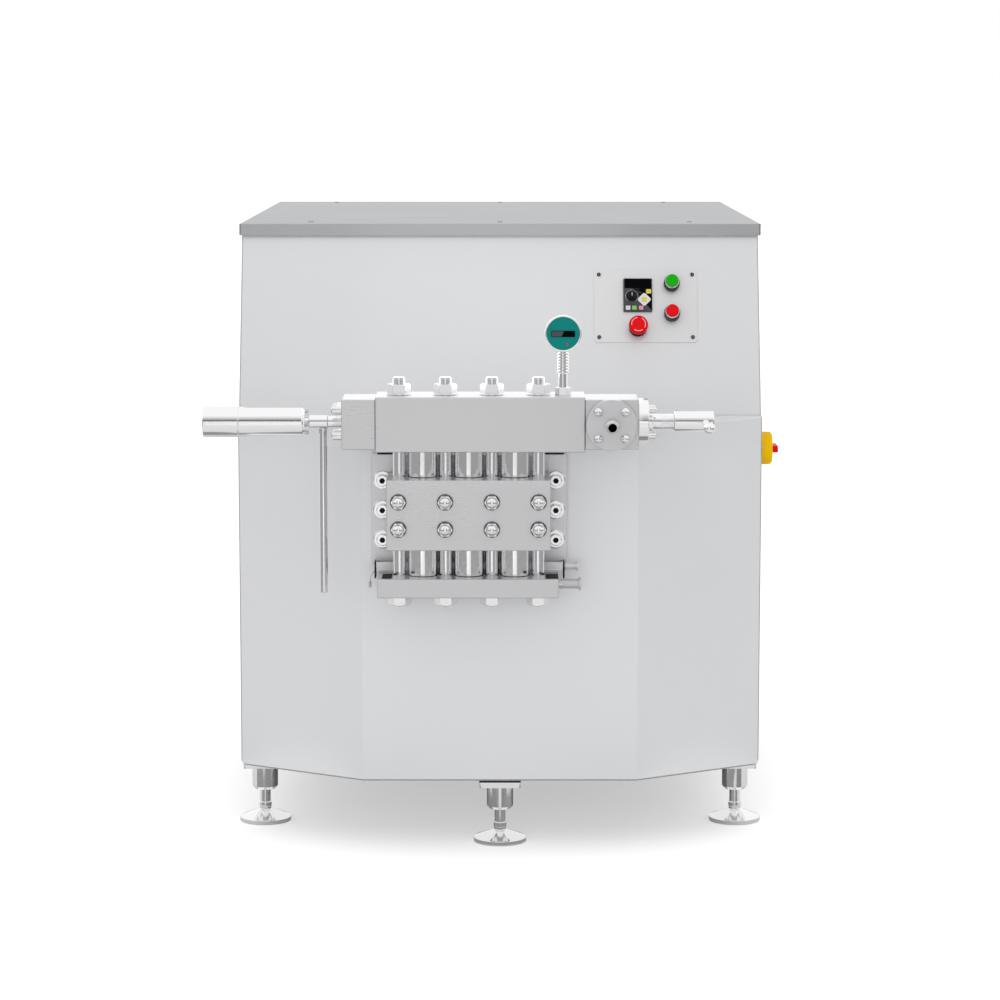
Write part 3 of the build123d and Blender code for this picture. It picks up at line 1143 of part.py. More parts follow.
def make_motor():
    length = MOTOR_RIGHT - MOTOR_LEFT
    axis = right_plane(MOTOR_LEFT, MOTOR_Y, MOTOR_Z)
    outline = [(-70, MOTOR_RADIUS - 18), (-64, MOTOR_RADIUS - 6), (0, MOTOR_RADIUS - 6),
               (0, MOTOR_RADIUS - 12), (length - 30, MOTOR_RADIUS - 12), (length - 30, MOTOR_RADIUS),
               (length - 14, MOTOR_RADIUS), (length, 60)]
    barrel = turned(axis, outline)
    foot_low = FRAME_TOP + RAIL_HEIGHT
    with BuildPart() as motor:
        add(barrel.part)
        with BuildSketch(axis):
            with Locations((0, 0)):
                with PolarLocations(MOTOR_RADIUS - 8, 32):
                    Rectangle(16, 4)
        extrude(amount=length - 30)
        with BuildSketch(Plane.XY.offset(foot_low)):
            with Locations(((MOTOR_LEFT + MOTOR_RIGHT) / 2 - 15, MOTOR_Y)):
                Rectangle(280, 250)
        extrude(amount=20)
        with BuildSketch(Plane.XY.offset(foot_low)):
            with Locations(((MOTOR_LEFT + MOTOR_RIGHT) / 2 - 15, MOTOR_Y)):
                Rectangle(240, 170)
        extrude(amount=MOTOR_Z - foot_low - 60)
        with BuildSketch(Plane.XY.offset(MOTOR_Z + MOTOR_RADIUS - 20)):
            with Locations(((MOTOR_LEFT + MOTOR_RIGHT) / 2, MOTOR_Y)):
                RectangleRounded(130, 130, 8)
        extrude(amount=75)
        with Locations(right_plane(MOTOR_RIGHT, MOTOR_Y, MOTOR_Z)):
            Cylinder(24 + FIT_GAP, 70, mode=Mode.SUBTRACT)
    save(motor, "motor")
    with BuildPart() as rails:
        with BuildSketch(Plane.XY.offset(FRAME_TOP)):
            with Locations(((MOTOR_LEFT + MOTOR_RIGHT) / 2 - 15, (CROSS_Y[1] + CROSS_Y[2]) / 2)):
                with GridLocations(220, 0, 2, 1):
                    Rectangle(60, CROSS_Y[2] - CROSS_Y[1] + CHANNEL_WIDTH)
                    SlotOverall(CROSS_Y[2] - CROSS_Y[1] - 60, 14, rotation=90, mode=Mode.SUBTRACT)
        extrude(amount=RAIL_HEIGHT)
    save(rails, "motor_rails")


def main():
    os.makedirs("parts", exist_ok=True)
    make_base_frame()
    make_feet()
    make_lower_front_cover()
    make_upper_front_panel()
    make_side_panel("right_side_panel", right_plane(HALF_WIDTH, 0, 0), 1, (250, 560), True)
    make_side_panel("left_side_panel", left_plane(-HALF_WIDTH, 0, 0), -1, (250, 560), False)
    make_rear_panel()
    make_top_cover()
    make_cable_gland()
    make_panel_screws()
    make_control_plate()
    make_keypad()
    make_buttons()
    make_main_switch()
    make_mounting_plate()
    make_pump_block()
    make_valve_housings()
    make_studs()
    make_nuts()
    make_cap_screws()
    make_suction_manifold()
    make_drip_tray()
    make_discharge_block()
    make_first_stage()
    make_second_stage()
    make_gauge()
    make_crankcase()
    make_plungers()
    make_drive()
    make_motor()


main()
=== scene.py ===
import math

import bmesh
import bpy
from mathutils import Matrix, Vector


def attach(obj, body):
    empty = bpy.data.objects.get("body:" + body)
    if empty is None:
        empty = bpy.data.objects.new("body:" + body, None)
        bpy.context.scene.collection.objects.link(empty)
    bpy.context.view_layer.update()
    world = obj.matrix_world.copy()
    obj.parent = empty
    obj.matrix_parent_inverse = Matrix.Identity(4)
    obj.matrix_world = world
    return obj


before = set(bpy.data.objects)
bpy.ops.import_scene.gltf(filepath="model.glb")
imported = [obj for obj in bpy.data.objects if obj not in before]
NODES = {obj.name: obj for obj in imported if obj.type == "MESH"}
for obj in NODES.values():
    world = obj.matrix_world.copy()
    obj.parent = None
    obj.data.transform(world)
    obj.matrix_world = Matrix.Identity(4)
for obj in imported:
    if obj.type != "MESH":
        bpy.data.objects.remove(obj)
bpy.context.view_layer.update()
scene = bpy.context.scene

# Camera: place, tilt and lens that give the photograph's view
CAMERA_AT = (0.0, -7.062, 1.560)
CAMERA_TILT = math.radians(82.54)
LENS = 115.2
SENSOR = 36.0

# Edge rounding in metres
FINE_BEVEL = 0.0004
SHEET_BEVEL = 0.0012
ROUND_STEPS = 64

# Places shared with the CAD, in millimetres
PUMP_X = -62.0
VALVE_Y = -757.0
VALVE_X = (-154.0, -62.0, 30.0)
STUD_X = (-200.0, -108.0, -16.0, 76.0)
DOME_Z = (685.0, 739.0)
PLATE_SCREW_X = (-236.0, 112.0)
PLATE_SCREW_Z = (646.0, 706.0, 766.0)
AXIS_Z = 890.7
PANEL_FOOT = (-478.0, 875.0)
PANEL_HEAD = (-349.0, 1238.0)
LEAN = math.atan2(PANEL_HEAD[0] - PANEL_FOOT[0], PANEL_HEAD[1] - PANEL_FOOT[1])
CONTROL_X = 303.5
CONTROL_CENTRE = 233.5
KEYPAD = (-16.6, 22.2)
KEYPAD_FACE = 9.0
KNOB = (-12.6, -3.3)
PAD = (13.3, -10.4)
BUTTONS = ((54.2, 46.6), (54.2, -18.0))
ESTOP = (-16.7, -48.0)
FIRST_LEFT = -312.0
OUTLET_X = 219.0
GAUGE = (124.0, -793.0, 1068.5)
FEET = {"foot_nose": (0.0, -580.0), "foot_front_left": (-499.0, -391.0), "foot_front_right": (499.0, -391.0),
        "foot_rear_left": (-499.0, 780.0), "foot_rear_right": (499.0, 780.0)}


# Materials
def shader(name, colour, metallic=0.0, roughness=0.5):
    material = bpy.data.materials.new(name)
    material.use_nodes = True
    nodes = material.node_tree.nodes
    bsdf = nodes["Principled BSDF"]
    bsdf.inputs["Base Color"].default_value = (*colour, 1)
    bsdf.inputs["Metallic"].default_value = metallic
    bsdf.inputs["Roughness"].default_value = roughness
    return material, nodes, material.node_tree.links, bsdf


def object_noise(nodes, links, scale, stretch=(1, 1, 1), detail=4.0):
    """Noise in the object's own space, stretched along its axes."""
    coordinates = nodes.new("ShaderNodeTexCoord")
    mapping = nodes.new("ShaderNodeMapping")
    mapping.inputs["Scale"].default_value = stretch
    noise = nodes.new("ShaderNodeTexNoise")
    noise.inputs["Scale"].default_value = scale
    noise.inputs["Detail"].default_value = detail
    links.new(coordinates.outputs["Object"], mapping.inputs["Vector"])
    links.new(mapping.outputs["Vector"], noise.inputs["Vector"])
    return noise.outputs["Fac"]


def spread(nodes, links, value, low, high):
    ramp = nodes.new("ShaderNodeMapRange")
    ramp.inputs["From Min"].default_value = 0.3
    ramp.inputs["From Max"].default_value = 0.7
    ramp.inputs["To Min"].default_value = low
    ramp.inputs["To Max"].default_value = high
    links.new(value, ramp.inputs["Value"])
    return ramp.outputs["Result"]


def tint(nodes, links, value, dark, light):
    mix = nodes.new("ShaderNodeMix")
    mix.data_type = "RGBA"
    mix.inputs["A"].default_value = (*dark, 1)
    mix.inputs["B"].default_value = (*light, 1)
    links.new(value, mix.inputs["Factor"])
    return mix.outputs["Result"]


def add_bump(nodes, links, bsdf, height, strength, distance):
    bump = nodes.new("ShaderNodeBump")
    bump.inputs["Strength"].default_value = strength
    bump.inputs["Distance"].default_value = distance
    links.new(height, bump.inputs["Height"])
    links.new(bump.outputs["Normal"], bsdf.inputs["Normal"])


def satin(name, colour, metallic, roughness, grain, stretch, bump=0.08):
    """Metal with a directional grain and faint cloudy handling marks."""
    material, nodes, links, bsdf = shader(name, colour, metallic, roughness)
    lines = object_noise(nodes, links, grain, stretch, 3.0)
    clouds = object_noise(nodes, links, 3.0)
    light = tuple(min(1.0, part * 1.02) for part in colour)
    dark = tuple(part * 0.98 for part in colour)
    links.new(tint(nodes, links, clouds, dark, light), bsdf.inputs["Base Color"])
    both = nodes.new("ShaderNodeMath")
    both.operation = "ADD"
    links.new(spread(nodes, links, lines, -0.03, 0.03), both.inputs[0])
    links.new(spread(nodes, links, clouds, roughness - 0.03, roughness + 0.03), both.inputs[1])
    links.new(both.outputs["Value"], bsdf.inputs["Roughness"])
    add_bump(nodes, links, bsdf, lines, bump, 0.0002)
    return material


def polished(name, colour, roughness, grain=160.0, stretch=(1, 1, 1)):
    """Turned and polished metal with very fine marks."""
    material, nodes, links, bsdf = shader(name, colour, 1.0, roughness)
    marks = object_noise(nodes, links, grain, stretch, 2.0)
    links.new(spread(nodes, links, marks, roughness * 0.7, roughness * 1.3), bsdf.inputs["Roughness"])
    add_bump(nodes, links, bsdf, marks, 0.02, 0.0001)
    return material


def moulded(name, colour, roughness, shine=0.15, grain=900.0):
    """Moulded plastic with a fine leather-like grain and slight colour drift."""
    material, nodes, links, bsdf = shader(name, colour, 0.0, roughness)
    bsdf.inputs["Specular IOR Level"].default_value = shine
    pebbles = object_noise(nodes, links, grain, detail=2.0)
    drift = object_noise(nodes, links, 40.0)
    dark = tuple(part * 0.94 for part in colour)
    links.new(tint(nodes, links, drift, dark, colour), bsdf.inputs["Base Color"])
    links.new(spread(nodes, links, pebbles, roughness - 0.04, roughness + 0.04), bsdf.inputs["Roughness"])
    add_bump(nodes, links, bsdf, pebbles, 0.05, 0.0001)
    return material


def painted(name, colour, roughness):
    """Sprayed enamel with orange-peel bump."""
    material, nodes, links, bsdf = shader(name, colour, 0.0, roughness)
    peel = object_noise(nodes, links, 220.0, detail=1.5)
    dust = object_noise(nodes, links, 9.0)
    dark = tuple(part * 0.9 for part in colour)
    links.new(tint(nodes, links, dust, dark, colour), bsdf.inputs["Base Color"])
    add_bump(nodes, links, bsdf, peel, 0.12, 0.0003)
    return material


# One stainless sheet in three tones: the leaning panel and the lid are darker copies of the lower sheet, painted shade
# for how light falls on them.
LOWER_GREY = (0.80, 0.805, 0.815)
PANEL_SHADED_GREY = (0.70, 0.705, 0.715)
STEEL = {
    "sheet": satin("sheet_steel", LOWER_GREY, 0.35, 0.44, 420.0, (1, 1, 0.02)),
    "panel": satin("panel_steel_shaded", PANEL_SHADED_GREY, 0.35, 0.44, 420.0, (1, 1, 0.02)),
    "lid": satin("lid_steel_shaded", (0.43, 0.435, 0.445), 0.5, 0.44, 420.0, (0.02, 1, 1)),
    "block": satin("ground_steel", (0.60, 0.60, 0.61), 0.6, 0.32, 600.0, (0.03, 1, 1), 0.05),
    "plate": satin("plate_steel", (0.70, 0.70, 0.71), 0.5, 0.36, 600.0, (1, 1, 0.03), 0.05),
    "bright": polished("bright_steel", (0.93, 0.93, 0.94), 0.10),
    "turned": polished("turned_steel", (0.86, 0.86, 0.87), 0.15, 400.0),
    "screw": polished("screw_steel", (0.62, 0.62, 0.63), 0.20),
    # Dark steel only for the dome nuts' washers: painted shade for the dark ring round the nuts.
    "dome_shade_steel": polished("dome_shade_steel", (0.16, 0.16, 0.165), 0.25),
}
PLASTIC = {
    "black": moulded("black_plastic", (0.010, 0.010, 0.011), 0.34, 0.12),
    "keypad": moulded("keypad_plastic", (0.075, 0.075, 0.088), 0.42),
    "display": moulded("display_plastic", (0.002, 0.002, 0.003), 0.22, 0.02),
    "yellow_key": moulded("yellow_key_plastic", (0.82, 0.66, 0.08), 0.4),
    "white_key": moulded("white_key_plastic", (0.82, 0.82, 0.80), 0.4),
    "green_key": moulded("green_key_plastic", (0.22, 0.66, 0.12), 0.4),
    "pink_key": moulded("pink_key_plastic", (0.80, 0.32, 0.42), 0.4),
    "mark": moulded("mark_plastic", (0.30, 0.30, 0.31), 0.5),
    "pale_mark": moulded("pale_mark_plastic", (0.85, 0.68, 0.64), 0.4),
    "green": moulded("green_plastic", (0.010, 0.42, 0.004), 0.34, 0.06),
    "red": moulded("red_plastic", (0.78, 0.004, 0.008), 0.34, 0.06),
    "yellow": moulded("yellow_plastic", (0.92, 0.55, 0.0), 0.38, 0.1),
    "teal": moulded("teal_plastic", (0.004, 0.22, 0.20), 0.40, 0.08),
    # Black rubber for the real seals and gaskets, also used as painted shade in sockets and gaps.
    "rubber": moulded("seal_rubber_and_painted_shade", (0.010, 0.010, 0.011), 0.6),
}
PAINT = {
    "frame": painted("frame_paint", (0.42, 0.43, 0.44), 0.45),
    "case": painted("case_paint", (0.20, 0.24, 0.27), 0.4),
    "motor": painted("motor_paint", (0.10, 0.16, 0.24), 0.4),
    "iron": painted("pulley_iron", (0.07, 0.07, 0.075), 0.5),
    "belt": moulded("belt_rubber", (0.015, 0.015, 0.015), 0.7),
    "ceramic": moulded("plunger_ceramic", (0.82, 0.80, 0.74), 0.2),
}
FINISHES = {**STEEL, **PLASTIC, **PAINT}

FINISH_OF_NODE = {
    "lower_front_cover": "sheet", "upper_front_panel": "panel", "left_side_panel": "sheet",
    "right_side_panel": "sheet", "rear_panel": "sheet", "top_cover": "lid", "control_plate": "plate",
    "drip_tray": "plate", "mounting_plate": "plate", "pump_block": "block", "suction_manifold": "block",
    "discharge_block": "block", "first_stage_block": "block", "second_stage_block": "block",
    "outlet_flange": "block", "valve_housings": "bright", "tie_studs": "bright", "head_nuts": "turned",
    "cap_screws": "turned", "first_stage_stem": "bright", "pressure_lever": "bright",
    "spring_cylinder": "bright", "second_stage_bonnet": "bright", "t_handle": "bright",
    "gauge_stem": "bright", "gauge_case": "turned", "foot_sleeves": "bright", "foot_nose": "bright",
    "foot_front_left": "bright", "foot_front_right": "bright", "foot_rear_left": "bright",
    "foot_rear_right": "bright", "panel_screws": "screw", "base_frame": "frame", "motor_rails": "frame",
    "gauge_face": "teal", "keypad_body": "keypad", "speed_knob": "black", "menu_key": "yellow_key",
    "enter_key": "yellow_key", "arrow_pad": "white_key", "jog_key": "white_key", "run_key": "green_key",
    "stop_key": "pink_key", "button_bezels": "turned", "start_button": "green", "stop_button": "red",
    "estop_head": "red", "estop_stem": "black", "cable_gland": "black", "switch_plate": "yellow",
    "switch_handle": "red", "crankcase": "case", "plunger_1": "ceramic", "plunger_2": "ceramic",
    "plunger_3": "ceramic", "drive_pulley": "iron", "motor_pulley": "iron", "drive_belts": "belt",
    "motor": "motor",
}
FOLDED_NODES = ("lower_front_cover", "upper_front_panel", "left_side_panel", "right_side_panel",
                "rear_panel", "top_cover")


def soften(piece, width, angle):
    """Welds, joins flat faces, rounds the edges over the angle and shades by face size."""
    weld = piece.modifiers.new("weld", "WELD")
    weld.merge_threshold = 0.00001
    join = piece.modifiers.new("join", "DECIMATE")
    join.decimate_type = "DISSOLVE"
    join.angle_limit = math.radians(0.4)
    edge = piece.modifiers.new("edge", "BEVEL")
    edge.width = width
    edge.segments = 2
    edge.limit_method = "ANGLE"
    edge.angle_limit = math.radians(angle)
    edge.use_clamp_overlap = False
    shade = piece.modifiers.new("shade", "WEIGHTED_NORMAL")
    shade.weight = 90
    piece.data.shade_smooth()


def dress_nodes():
    """Gives every carried-over node its finish and rounded edges."""
    for name, node in NODES.items():
        node.data.materials.clear()
        node.data.materials.append(FINISHES[FINISH_OF_NODE[name]])
        if name in FOLDED_NODES:
            soften(node, SHEET_BEVEL, 8)
        else:
            soften(node, FINE_BEVEL, 32)


# Mesh builders, all lengths in millimetres
def plane_at(origin, normal, up):
    """Matrix with z along the normal and y near up, turning millimetres into metres."""
    z = Vector(normal).normalized()
    x = Vector(up).cross(z).normalized()
    y = z.cross(x)
    matrix = Matrix((x, y, z)).transposed().to_4x4()
    matrix.translation = Vector(origin)
    return Matrix.Scale(0.001, 4) @ matrix


def front_at(x, y, z):
    return plane_at((x, y, z), (0, -1, 0), (0, 0, 1))


def right_at(x, y, z):
    return plane_at((x, y, z), (1, 0, 0), (0, 0, 1))


def left_at(x, y, z):
    return plane_at((x, y, z), (-1, 0, 0), (0, 0, 1))


def top_at(x, y, z):
    return plane_at((x, y, z), (0, 0, 1), (0, 1, 0))


def control_at(x, up, out):
    """Plane on the leaning panel, measured from the control plate's middle."""
    along = CONTROL_CENTRE + up
    y = PANEL_FOOT[0] + along * math.sin(LEAN) - out * math.cos(LEAN)
    z = PANEL_FOOT[1] + along * math.cos(LEAN) + out * math.sin(LEAN)
    return plane_at((CONTROL_X + x, y, z), (0, -math.cos(LEAN), math.sin(LEAN)), (0, math.sin(LEAN), math.cos(LEAN)))


def keypad_at(x, up, out):
    return control_at(KEYPAD[0] + x, KEYPAD[1] + up, KEYPAD_FACE + out)


def add_lathe(bm, matrix, profile, steps=ROUND_STEPS, closed=False):
    """Solid of revolution from (height, radius) points; closed joins the last point to the first."""
    rings = []
    for height, radius in profile:
        if radius < 0.001:
            rings.append([bm.verts.new(matrix @ Vector((0, 0, height)))])
            continue
        ring = []
        for step in range(steps):
            angle = 2 * math.pi * step / steps
            ring.append(bm.verts.new(matrix @ Vector((radius * math.cos(angle), radius * math.sin(angle), height))))
        rings.append(ring)
    pairs = list(zip(rings, rings[1:]))
    if closed:
        pairs.append((rings[-1], rings[0]))
    for first, second in pairs:
        for step in range(steps):
            after = (step + 1) % steps
            corners = []
            for ring, index in ((first, step), (first, after), (second, after), (second, step)):
                corner = ring[index % len(ring)]
                if corner not in corners:
                    corners.append(corner)
            bm.faces.new(corners)


def add_prism(bm, matrix, outline, low, high):
    base = [bm.verts.new(matrix @ Vector((x, y, low))) for x, y in outline]
    roof = [bm.verts.new(matrix @ Vector((x, y, high))) for x, y in outline]
    bm.faces.new(list(reversed(base)))
    bm.faces.new(roof)
    count = len(outline)
    for index in range(count):
        after = (index + 1) % count
        bm.faces.new((base[index], base[after], roof[after], roof[index]))


def add_tube(bm, matrix, points, radius, steps=12):
    """Round bar along a line of points."""
    path = [Vector(point) for point in points]
    rings = []
    side = Vector((0.123, 0.456, 0.789))
    for index, point in enumerate(path):
        ahead = path[min(index + 1, len(path) - 1)] - path[max(index - 1, 0)]
        ahead.normalize()
        side = (side - ahead * side.dot(ahead)).normalized()
        other = ahead.cross(side)
        ring = []
        for step in range(steps):
            angle = 2 * math.pi * step / steps
            spot = point + radius * (math.cos(angle) * side + math.sin(angle) * other)
            ring.append(bm.verts.new(matrix @ spot))
        rings.append(ring)
    for first, second in zip(rings, rings[1:]):
        for step in range(steps):
            after = (step + 1) % steps
            bm.faces.new((first[step], first[after], second[after], second[step]))
    bm.faces.new(list(reversed(rings[0])))
    bm.faces.new(rings[-1])


def rounded_rectangle(width, height, radius, turn=0.0):
    outline = []
    for quarter, (sx, sy) in enumerate(((1, 1), (-1, 1), (-1, -1), (1, -1))):
        for step in range(7):
            angle = math.radians(90 * quarter + 15 * step)
            x = sx * (width / 2 - radius) + radius * math.cos(angle)
            y = sy * (height / 2 - radius) + radius * math.sin(angle)
            outline.append((x, y))
    c, s = math.cos(math.radians(turn)), math.sin(math.radians(turn))
    return [(c * x - s * y, s * x + c * y) for x, y in outline]


def regular(sides, flats, turn=0.0):
    radius = flats / 2 / math.cos(math.pi / sides)
    spots = [2 * math.pi * side / sides + math.radians(turn) for side in range(sides)]
    return [(radius * math.cos(angle), radius * math.sin(angle)) for angle in spots]


def make_piece(bm, name, finish, body="cabinet", bevel=0.0002):
    bmesh.ops.recalc_face_normals(bm, faces=bm.faces[:])
    mesh = bpy.data.meshes.new(name)
    bm.to_mesh(mesh)
    bm.free()
    mesh.materials.append(FINISHES[finish])
    piece = bpy.data.objects.new(name, mesh)
    scene.collection.objects.link(piece)
    mesh.shade_smooth()
    if bevel > 0:
        edge = piece.modifiers.new("edge", "BEVEL")
        edge.width = bevel
        edge.segments = 2
        edge.limit_method = "ANGLE"
        edge.angle_limit = math.radians(35)
        edge.use_clamp_overlap = True
    shade = piece.modifiers.new("shade", "WEIGHTED_NORMAL")
    shade.weight = 90
    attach(piece, body)
    return piece


# Pump head details
def thread_profile(low, high, core, crest, pitch):
    """Zigzag of ridges between two heights."""
    points = [(low, core)]
    turns = int((high - low) / pitch)
    for turn in range(turns):
        base = low + turn * pitch
        points += [(base + 0.25 * pitch, core), (base + 0.45 * pitch, crest), (base + 0.55 * pitch, crest),
                   (base + 0.75 * pitch, core)]
    points.append((low + turns * pitch + 0.2, core))
    return points


def make_stud_threads():
    bm = bmesh.new()
    for x in STUD_X:
        add_lathe(bm, top_at(x, VALVE_Y, 0), thread_profile(966.6, 978, 11.9, 12.7, 2.0), closed=True)
        add_lathe(bm, top_at(x, VALVE_Y, 0), thread_profile(522.6, 524.6, 11.9, 12.7, 1.9), closed=True)
    make_piece(bm, "stud_threads", "turned", bevel=0)


def make_nut_washers():
    bm = bmesh.new()
    for x in STUD_X:
        for low, high in ((945.0, 947.4), (543.6, 546.0)):
            profile = [(low, 12.5), (low, 23.6), (low + 0.4, 24.2), (high - 0.4, 24.2), (high, 23.6), (high, 12.5)]
            add_lathe(bm, top_at(x, VALVE_Y, 0), profile, closed=True)
    make_piece(bm, "nut_washers", "turned")


def make_dome_shade_washers():
    """Dished washers the dome nuts sit in, dark steel all over: painted shade for the dark ring round each dome nut."""
    bm = bmesh.new()
    for x in STUD_X:
        for z in DOME_Z:
            profile = [(0, 13), (0, 15.9), (2.6, 16.2), (3.1, 15.9), (2.4, 12.9), (0, 12.9)]
            add_lathe(bm, front_at(x, -827, z), profile[:-1], closed=True)
    make_piece(bm, "dome_shade_washers", "dome_shade_steel", bevel=0)


def make_screw_washers():
    """Raised rims round the mounting plate's screws."""
    bm = bmesh.new()
    for x in PLATE_SCREW_X:
        for z in PLATE_SCREW_Z:
            profile = [(0, 16.5), (0, 19.0), (0.8, 18.9), (1.6, 17.5), (1.6, 16.5)]
            add_lathe(bm, front_at(x, -687, z), profile, closed=True)
    make_piece(bm, "screw_washers", "turned")


def make_socket_shade_floors():
    """Dark hexagon inserts at the bottoms of the screws' sockets: painted shade of the deep sockets."""
    bm = bmesh.new()
    for x in PLATE_SCREW_X:
        for z in PLATE_SCREW_Z:
            add_prism(bm, front_at(x, -687, z), regular(6, 10.2, 30), 9.8, 13.0)
    for side_y in (-26, 26):
        for side_z in (-26, 26):
            add_prism(bm, left_at(FIRST_LEFT, VALVE_Y + side_y, AXIS_Z + side_z), regular(6, 8.4, 30), 10.0, 16.0)
    for angle in (45, 135, 225, 315):
        y = VALVE_Y + 36 * math.cos(math.radians(angle))
        z = AXIS_Z + 36 * math.sin(math.radians(angle))
        add_prism(bm, right_at(293.5, y, z), regular(6, 5.8, 30), 7.6, 12.0)
    # The black seal finish here paints the sockets' shade.
    make_piece(bm, "socket_shade_floors", "rubber", bevel=0)


def make_manifold_shade_pads():
    """Black pads on the manifold's ends and strips along the mounting plate's upper edge: painted shade of the dark
    gaps under the tray and under the discharge block.
    """
    bm = bmesh.new()
    for low, high in ((-234, -214.5), (90.5, 117)):
        outline = [(low, -806), (high, -806), (high, -748), (low, -748)]
        if high > 100:
            outline = [(low, -806), (115.5, -806), (115.5, -748), (low, -748)]
        add_prism(bm, top_at(0, 0, 584.0), outline, 0, 1.0)
    for low, high in ((-246, -214), (90, 128)):
        add_prism(bm, top_at(0, 0, 818.0), [(low, -686.6), (high, -686.6), (high, -668), (low, -668)], 0, 2.0)
    # The black pads and strips are painted shade in these gaps.
    make_piece(bm, "manifold_shade_pads", "rubber", bevel=0)
    rim = bmesh.new()
    add_tube(rim, top_at(0, 0, 0), [(-247.5, -723.6, 589), (125.5, -723.6, 589)], 2.2, 16)
    make_piece(rim, "tray_rim", "plate", bevel=0)


def make_valve_joints():
    """Thin dark joint rings where the valve housings meet the blocks."""
    bm = bmesh.new()
    for x in VALVE_X:
        for low in (584.0, 640.8, 782.0, 834.8):
            profile = [(low, 27), (low, 29.25), (low + 1.2, 29.25), (low + 1.2, 27)]
            add_lathe(bm, top_at(x, VALVE_Y, 0), profile, closed=True)
    make_piece(bm, "valve_joints", "rubber", bevel=0)


def make_tray_brackets():
    bm = bmesh.new()
    for x in (-251.5, 126.3):
        outline = [(-725, 572), (-686.5, 572), (-686.5, 604), (-712, 604), (-725, 594)]
        matrix = right_at(x, 0, 0)
        add_prism(bm, matrix, outline, 0, 3.2)
    make_piece(bm, "tray_brackets", "black")
    pins = bmesh.new()
    add_lathe(pins, top_at(-261, -716, 0), [(552, 0), (552, 2.6), (553, 3.2), (563, 3.2), (564, 2.4), (566, 0)], 24)
    add_tube(pins, top_at(0, 0, 0), [(-261, -716, 565), (-259, -716, 574), (-254, -716, 583), (-250, -716, 588)], 0.7)
    add_lathe(pins, right_at(116, -800, 571), [(0, 0), (0, 5), (2, 5), (2, 3.4), (9, 3.4), (9, 0)], 24)
    make_piece(pins, "tray_pin_and_bleed_screw", "screw")


def make_cylinder_screws():
    """Four small socket screws in the spring cylinder's end."""
    bm = bmesh.new()
    profile = [(0, 0), (0, 4.0), (9.2, 4.0), (10.0, 3.2), (10.0, 2.0), (7.0, 1.9), (7.0, 0)]
    for angle in (0, 90, 180, 270):
        y = VALVE_Y + 21.0 * math.cos(math.radians(angle))
        z = AXIS_Z + 21.0 * math.sin(math.radians(angle))
        add_lathe(bm, right_at(-389, y, z), profile, 24)
    make_piece(bm, "cylinder_screws", "screw")


def make_stem_threads():
    bm = bmesh.new()
    add_lathe(bm, left_at(0, VALVE_Y, AXIS_Z), thread_profile(315, 327, 13.2, 13.9, 2.0), closed=True)
    make_piece(bm, "stem_threads", "bright", bevel=0)
    gland = bmesh.new()
    add_lathe(gland, right_at(0, VALVE_Y, AXIS_Z),
              [(293.3, 17.5), (293.3, 22), (294, 22.6), (301, 22.6), (302, 21.8), (302, 17.5)], closed=True)
    add_lathe(gland, right_at(0, VALVE_Y, AXIS_Z), thread_profile(318, 342, 17.5, 18.2, 2.4), closed=True)
    make_piece(gland, "bonnet_gland", "bright")


def make_outlet_lip():
    bm = bmesh.new()
    profile = [(30, 11.9), (31, 13.0), (34, 13.0), (35, 11.9)]
    add_lathe(bm, front_at(OUTLET_X, -827, AXIS_Z), profile, closed=True)
    make_piece(bm, "outlet_lip", "bright", bevel=0.0003)
    # Black cup inside the nozzle's bore: painted shade of the deep opening.
    bore = bmesh.new()
    profile = [(10, 0), (10, 8.2), (45.5, 8.42), (46.6, 8.42), (46.6, 8.6), (9.5, 8.6), (9.5, 0)]
    add_lathe(bore, front_at(OUTLET_X, -827, AXIS_Z), profile, 32)
    make_piece(bore, "outlet_bore_painted_shade", "black", bevel=0)


# Gauge details
def make_gauge_front():
    x, y, z = GAUGE
    face = front_at(x, y, z)
    bm = bmesh.new()
    profile = [(-6, 35.4), (-6, 36.2), (0.2, 36.2), (1.2, 35.2), (1.2, 33.4), (0.2, 32.4), (-1.5, 32.4), (-1.5, 35.4)]
    add_lathe(bm, face, profile, closed=True)
    make_piece(bm, "gauge_bezel", "bright", bevel=0)
    rim = bmesh.new()
    add_prism(rim, front_at(x, y, z - 0.7), rounded_rectangle(50.5, 16.2, 1.6), -0.9, 0.05)
    make_piece(rim, "gauge_window_rim", "teal", bevel=0.0004)
    pane = bmesh.new()
    add_prism(pane, front_at(x, y, z - 0.7), rounded_rectangle(47.0, 12.6, 0.8), -0.6, 0.35)
    make_piece(pane, "gauge_window", "display", bevel=0.0003)
    # Lighter slanted patch on the display window: painted reflection on the glass.
    glint = bmesh.new()
    add_prism(glint, front_at(x, y, z - 0.7), [(-22.4, -5.2), (-3.5, -5.2), (1.6, 5.2), (-22.4, 5.2)], 0.2, 0.42)
    make_piece(glint, "gauge_window_painted_glint", "keypad", bevel=0)
    dot = bmesh.new()
    add_lathe(dot, front_at(x + 7.8, y + 0.4, z - 21.5), [(-0.2, 0), (-0.2, 2.2), (0.7, 2.0), (1.1, 1.2), (1.2, 0)], 24)
    make_piece(dot, "gauge_button", "red", bevel=0)


# Control plate details
def make_plate_screws():
    bm = bmesh.new()
    for x in (-97, 97):
        for up in (-67.5, 67.5):
            profile = [(0, 0), (0, 4.4), (1.2, 4.4), (2.5, 3.2), (2.7, 1.8), (1.2, 1.7), (1.2, 0)]
            add_lathe(bm, control_at(x, up, 2), profile, 32)
    make_piece(bm, "plate_screws", "black", bevel=0)


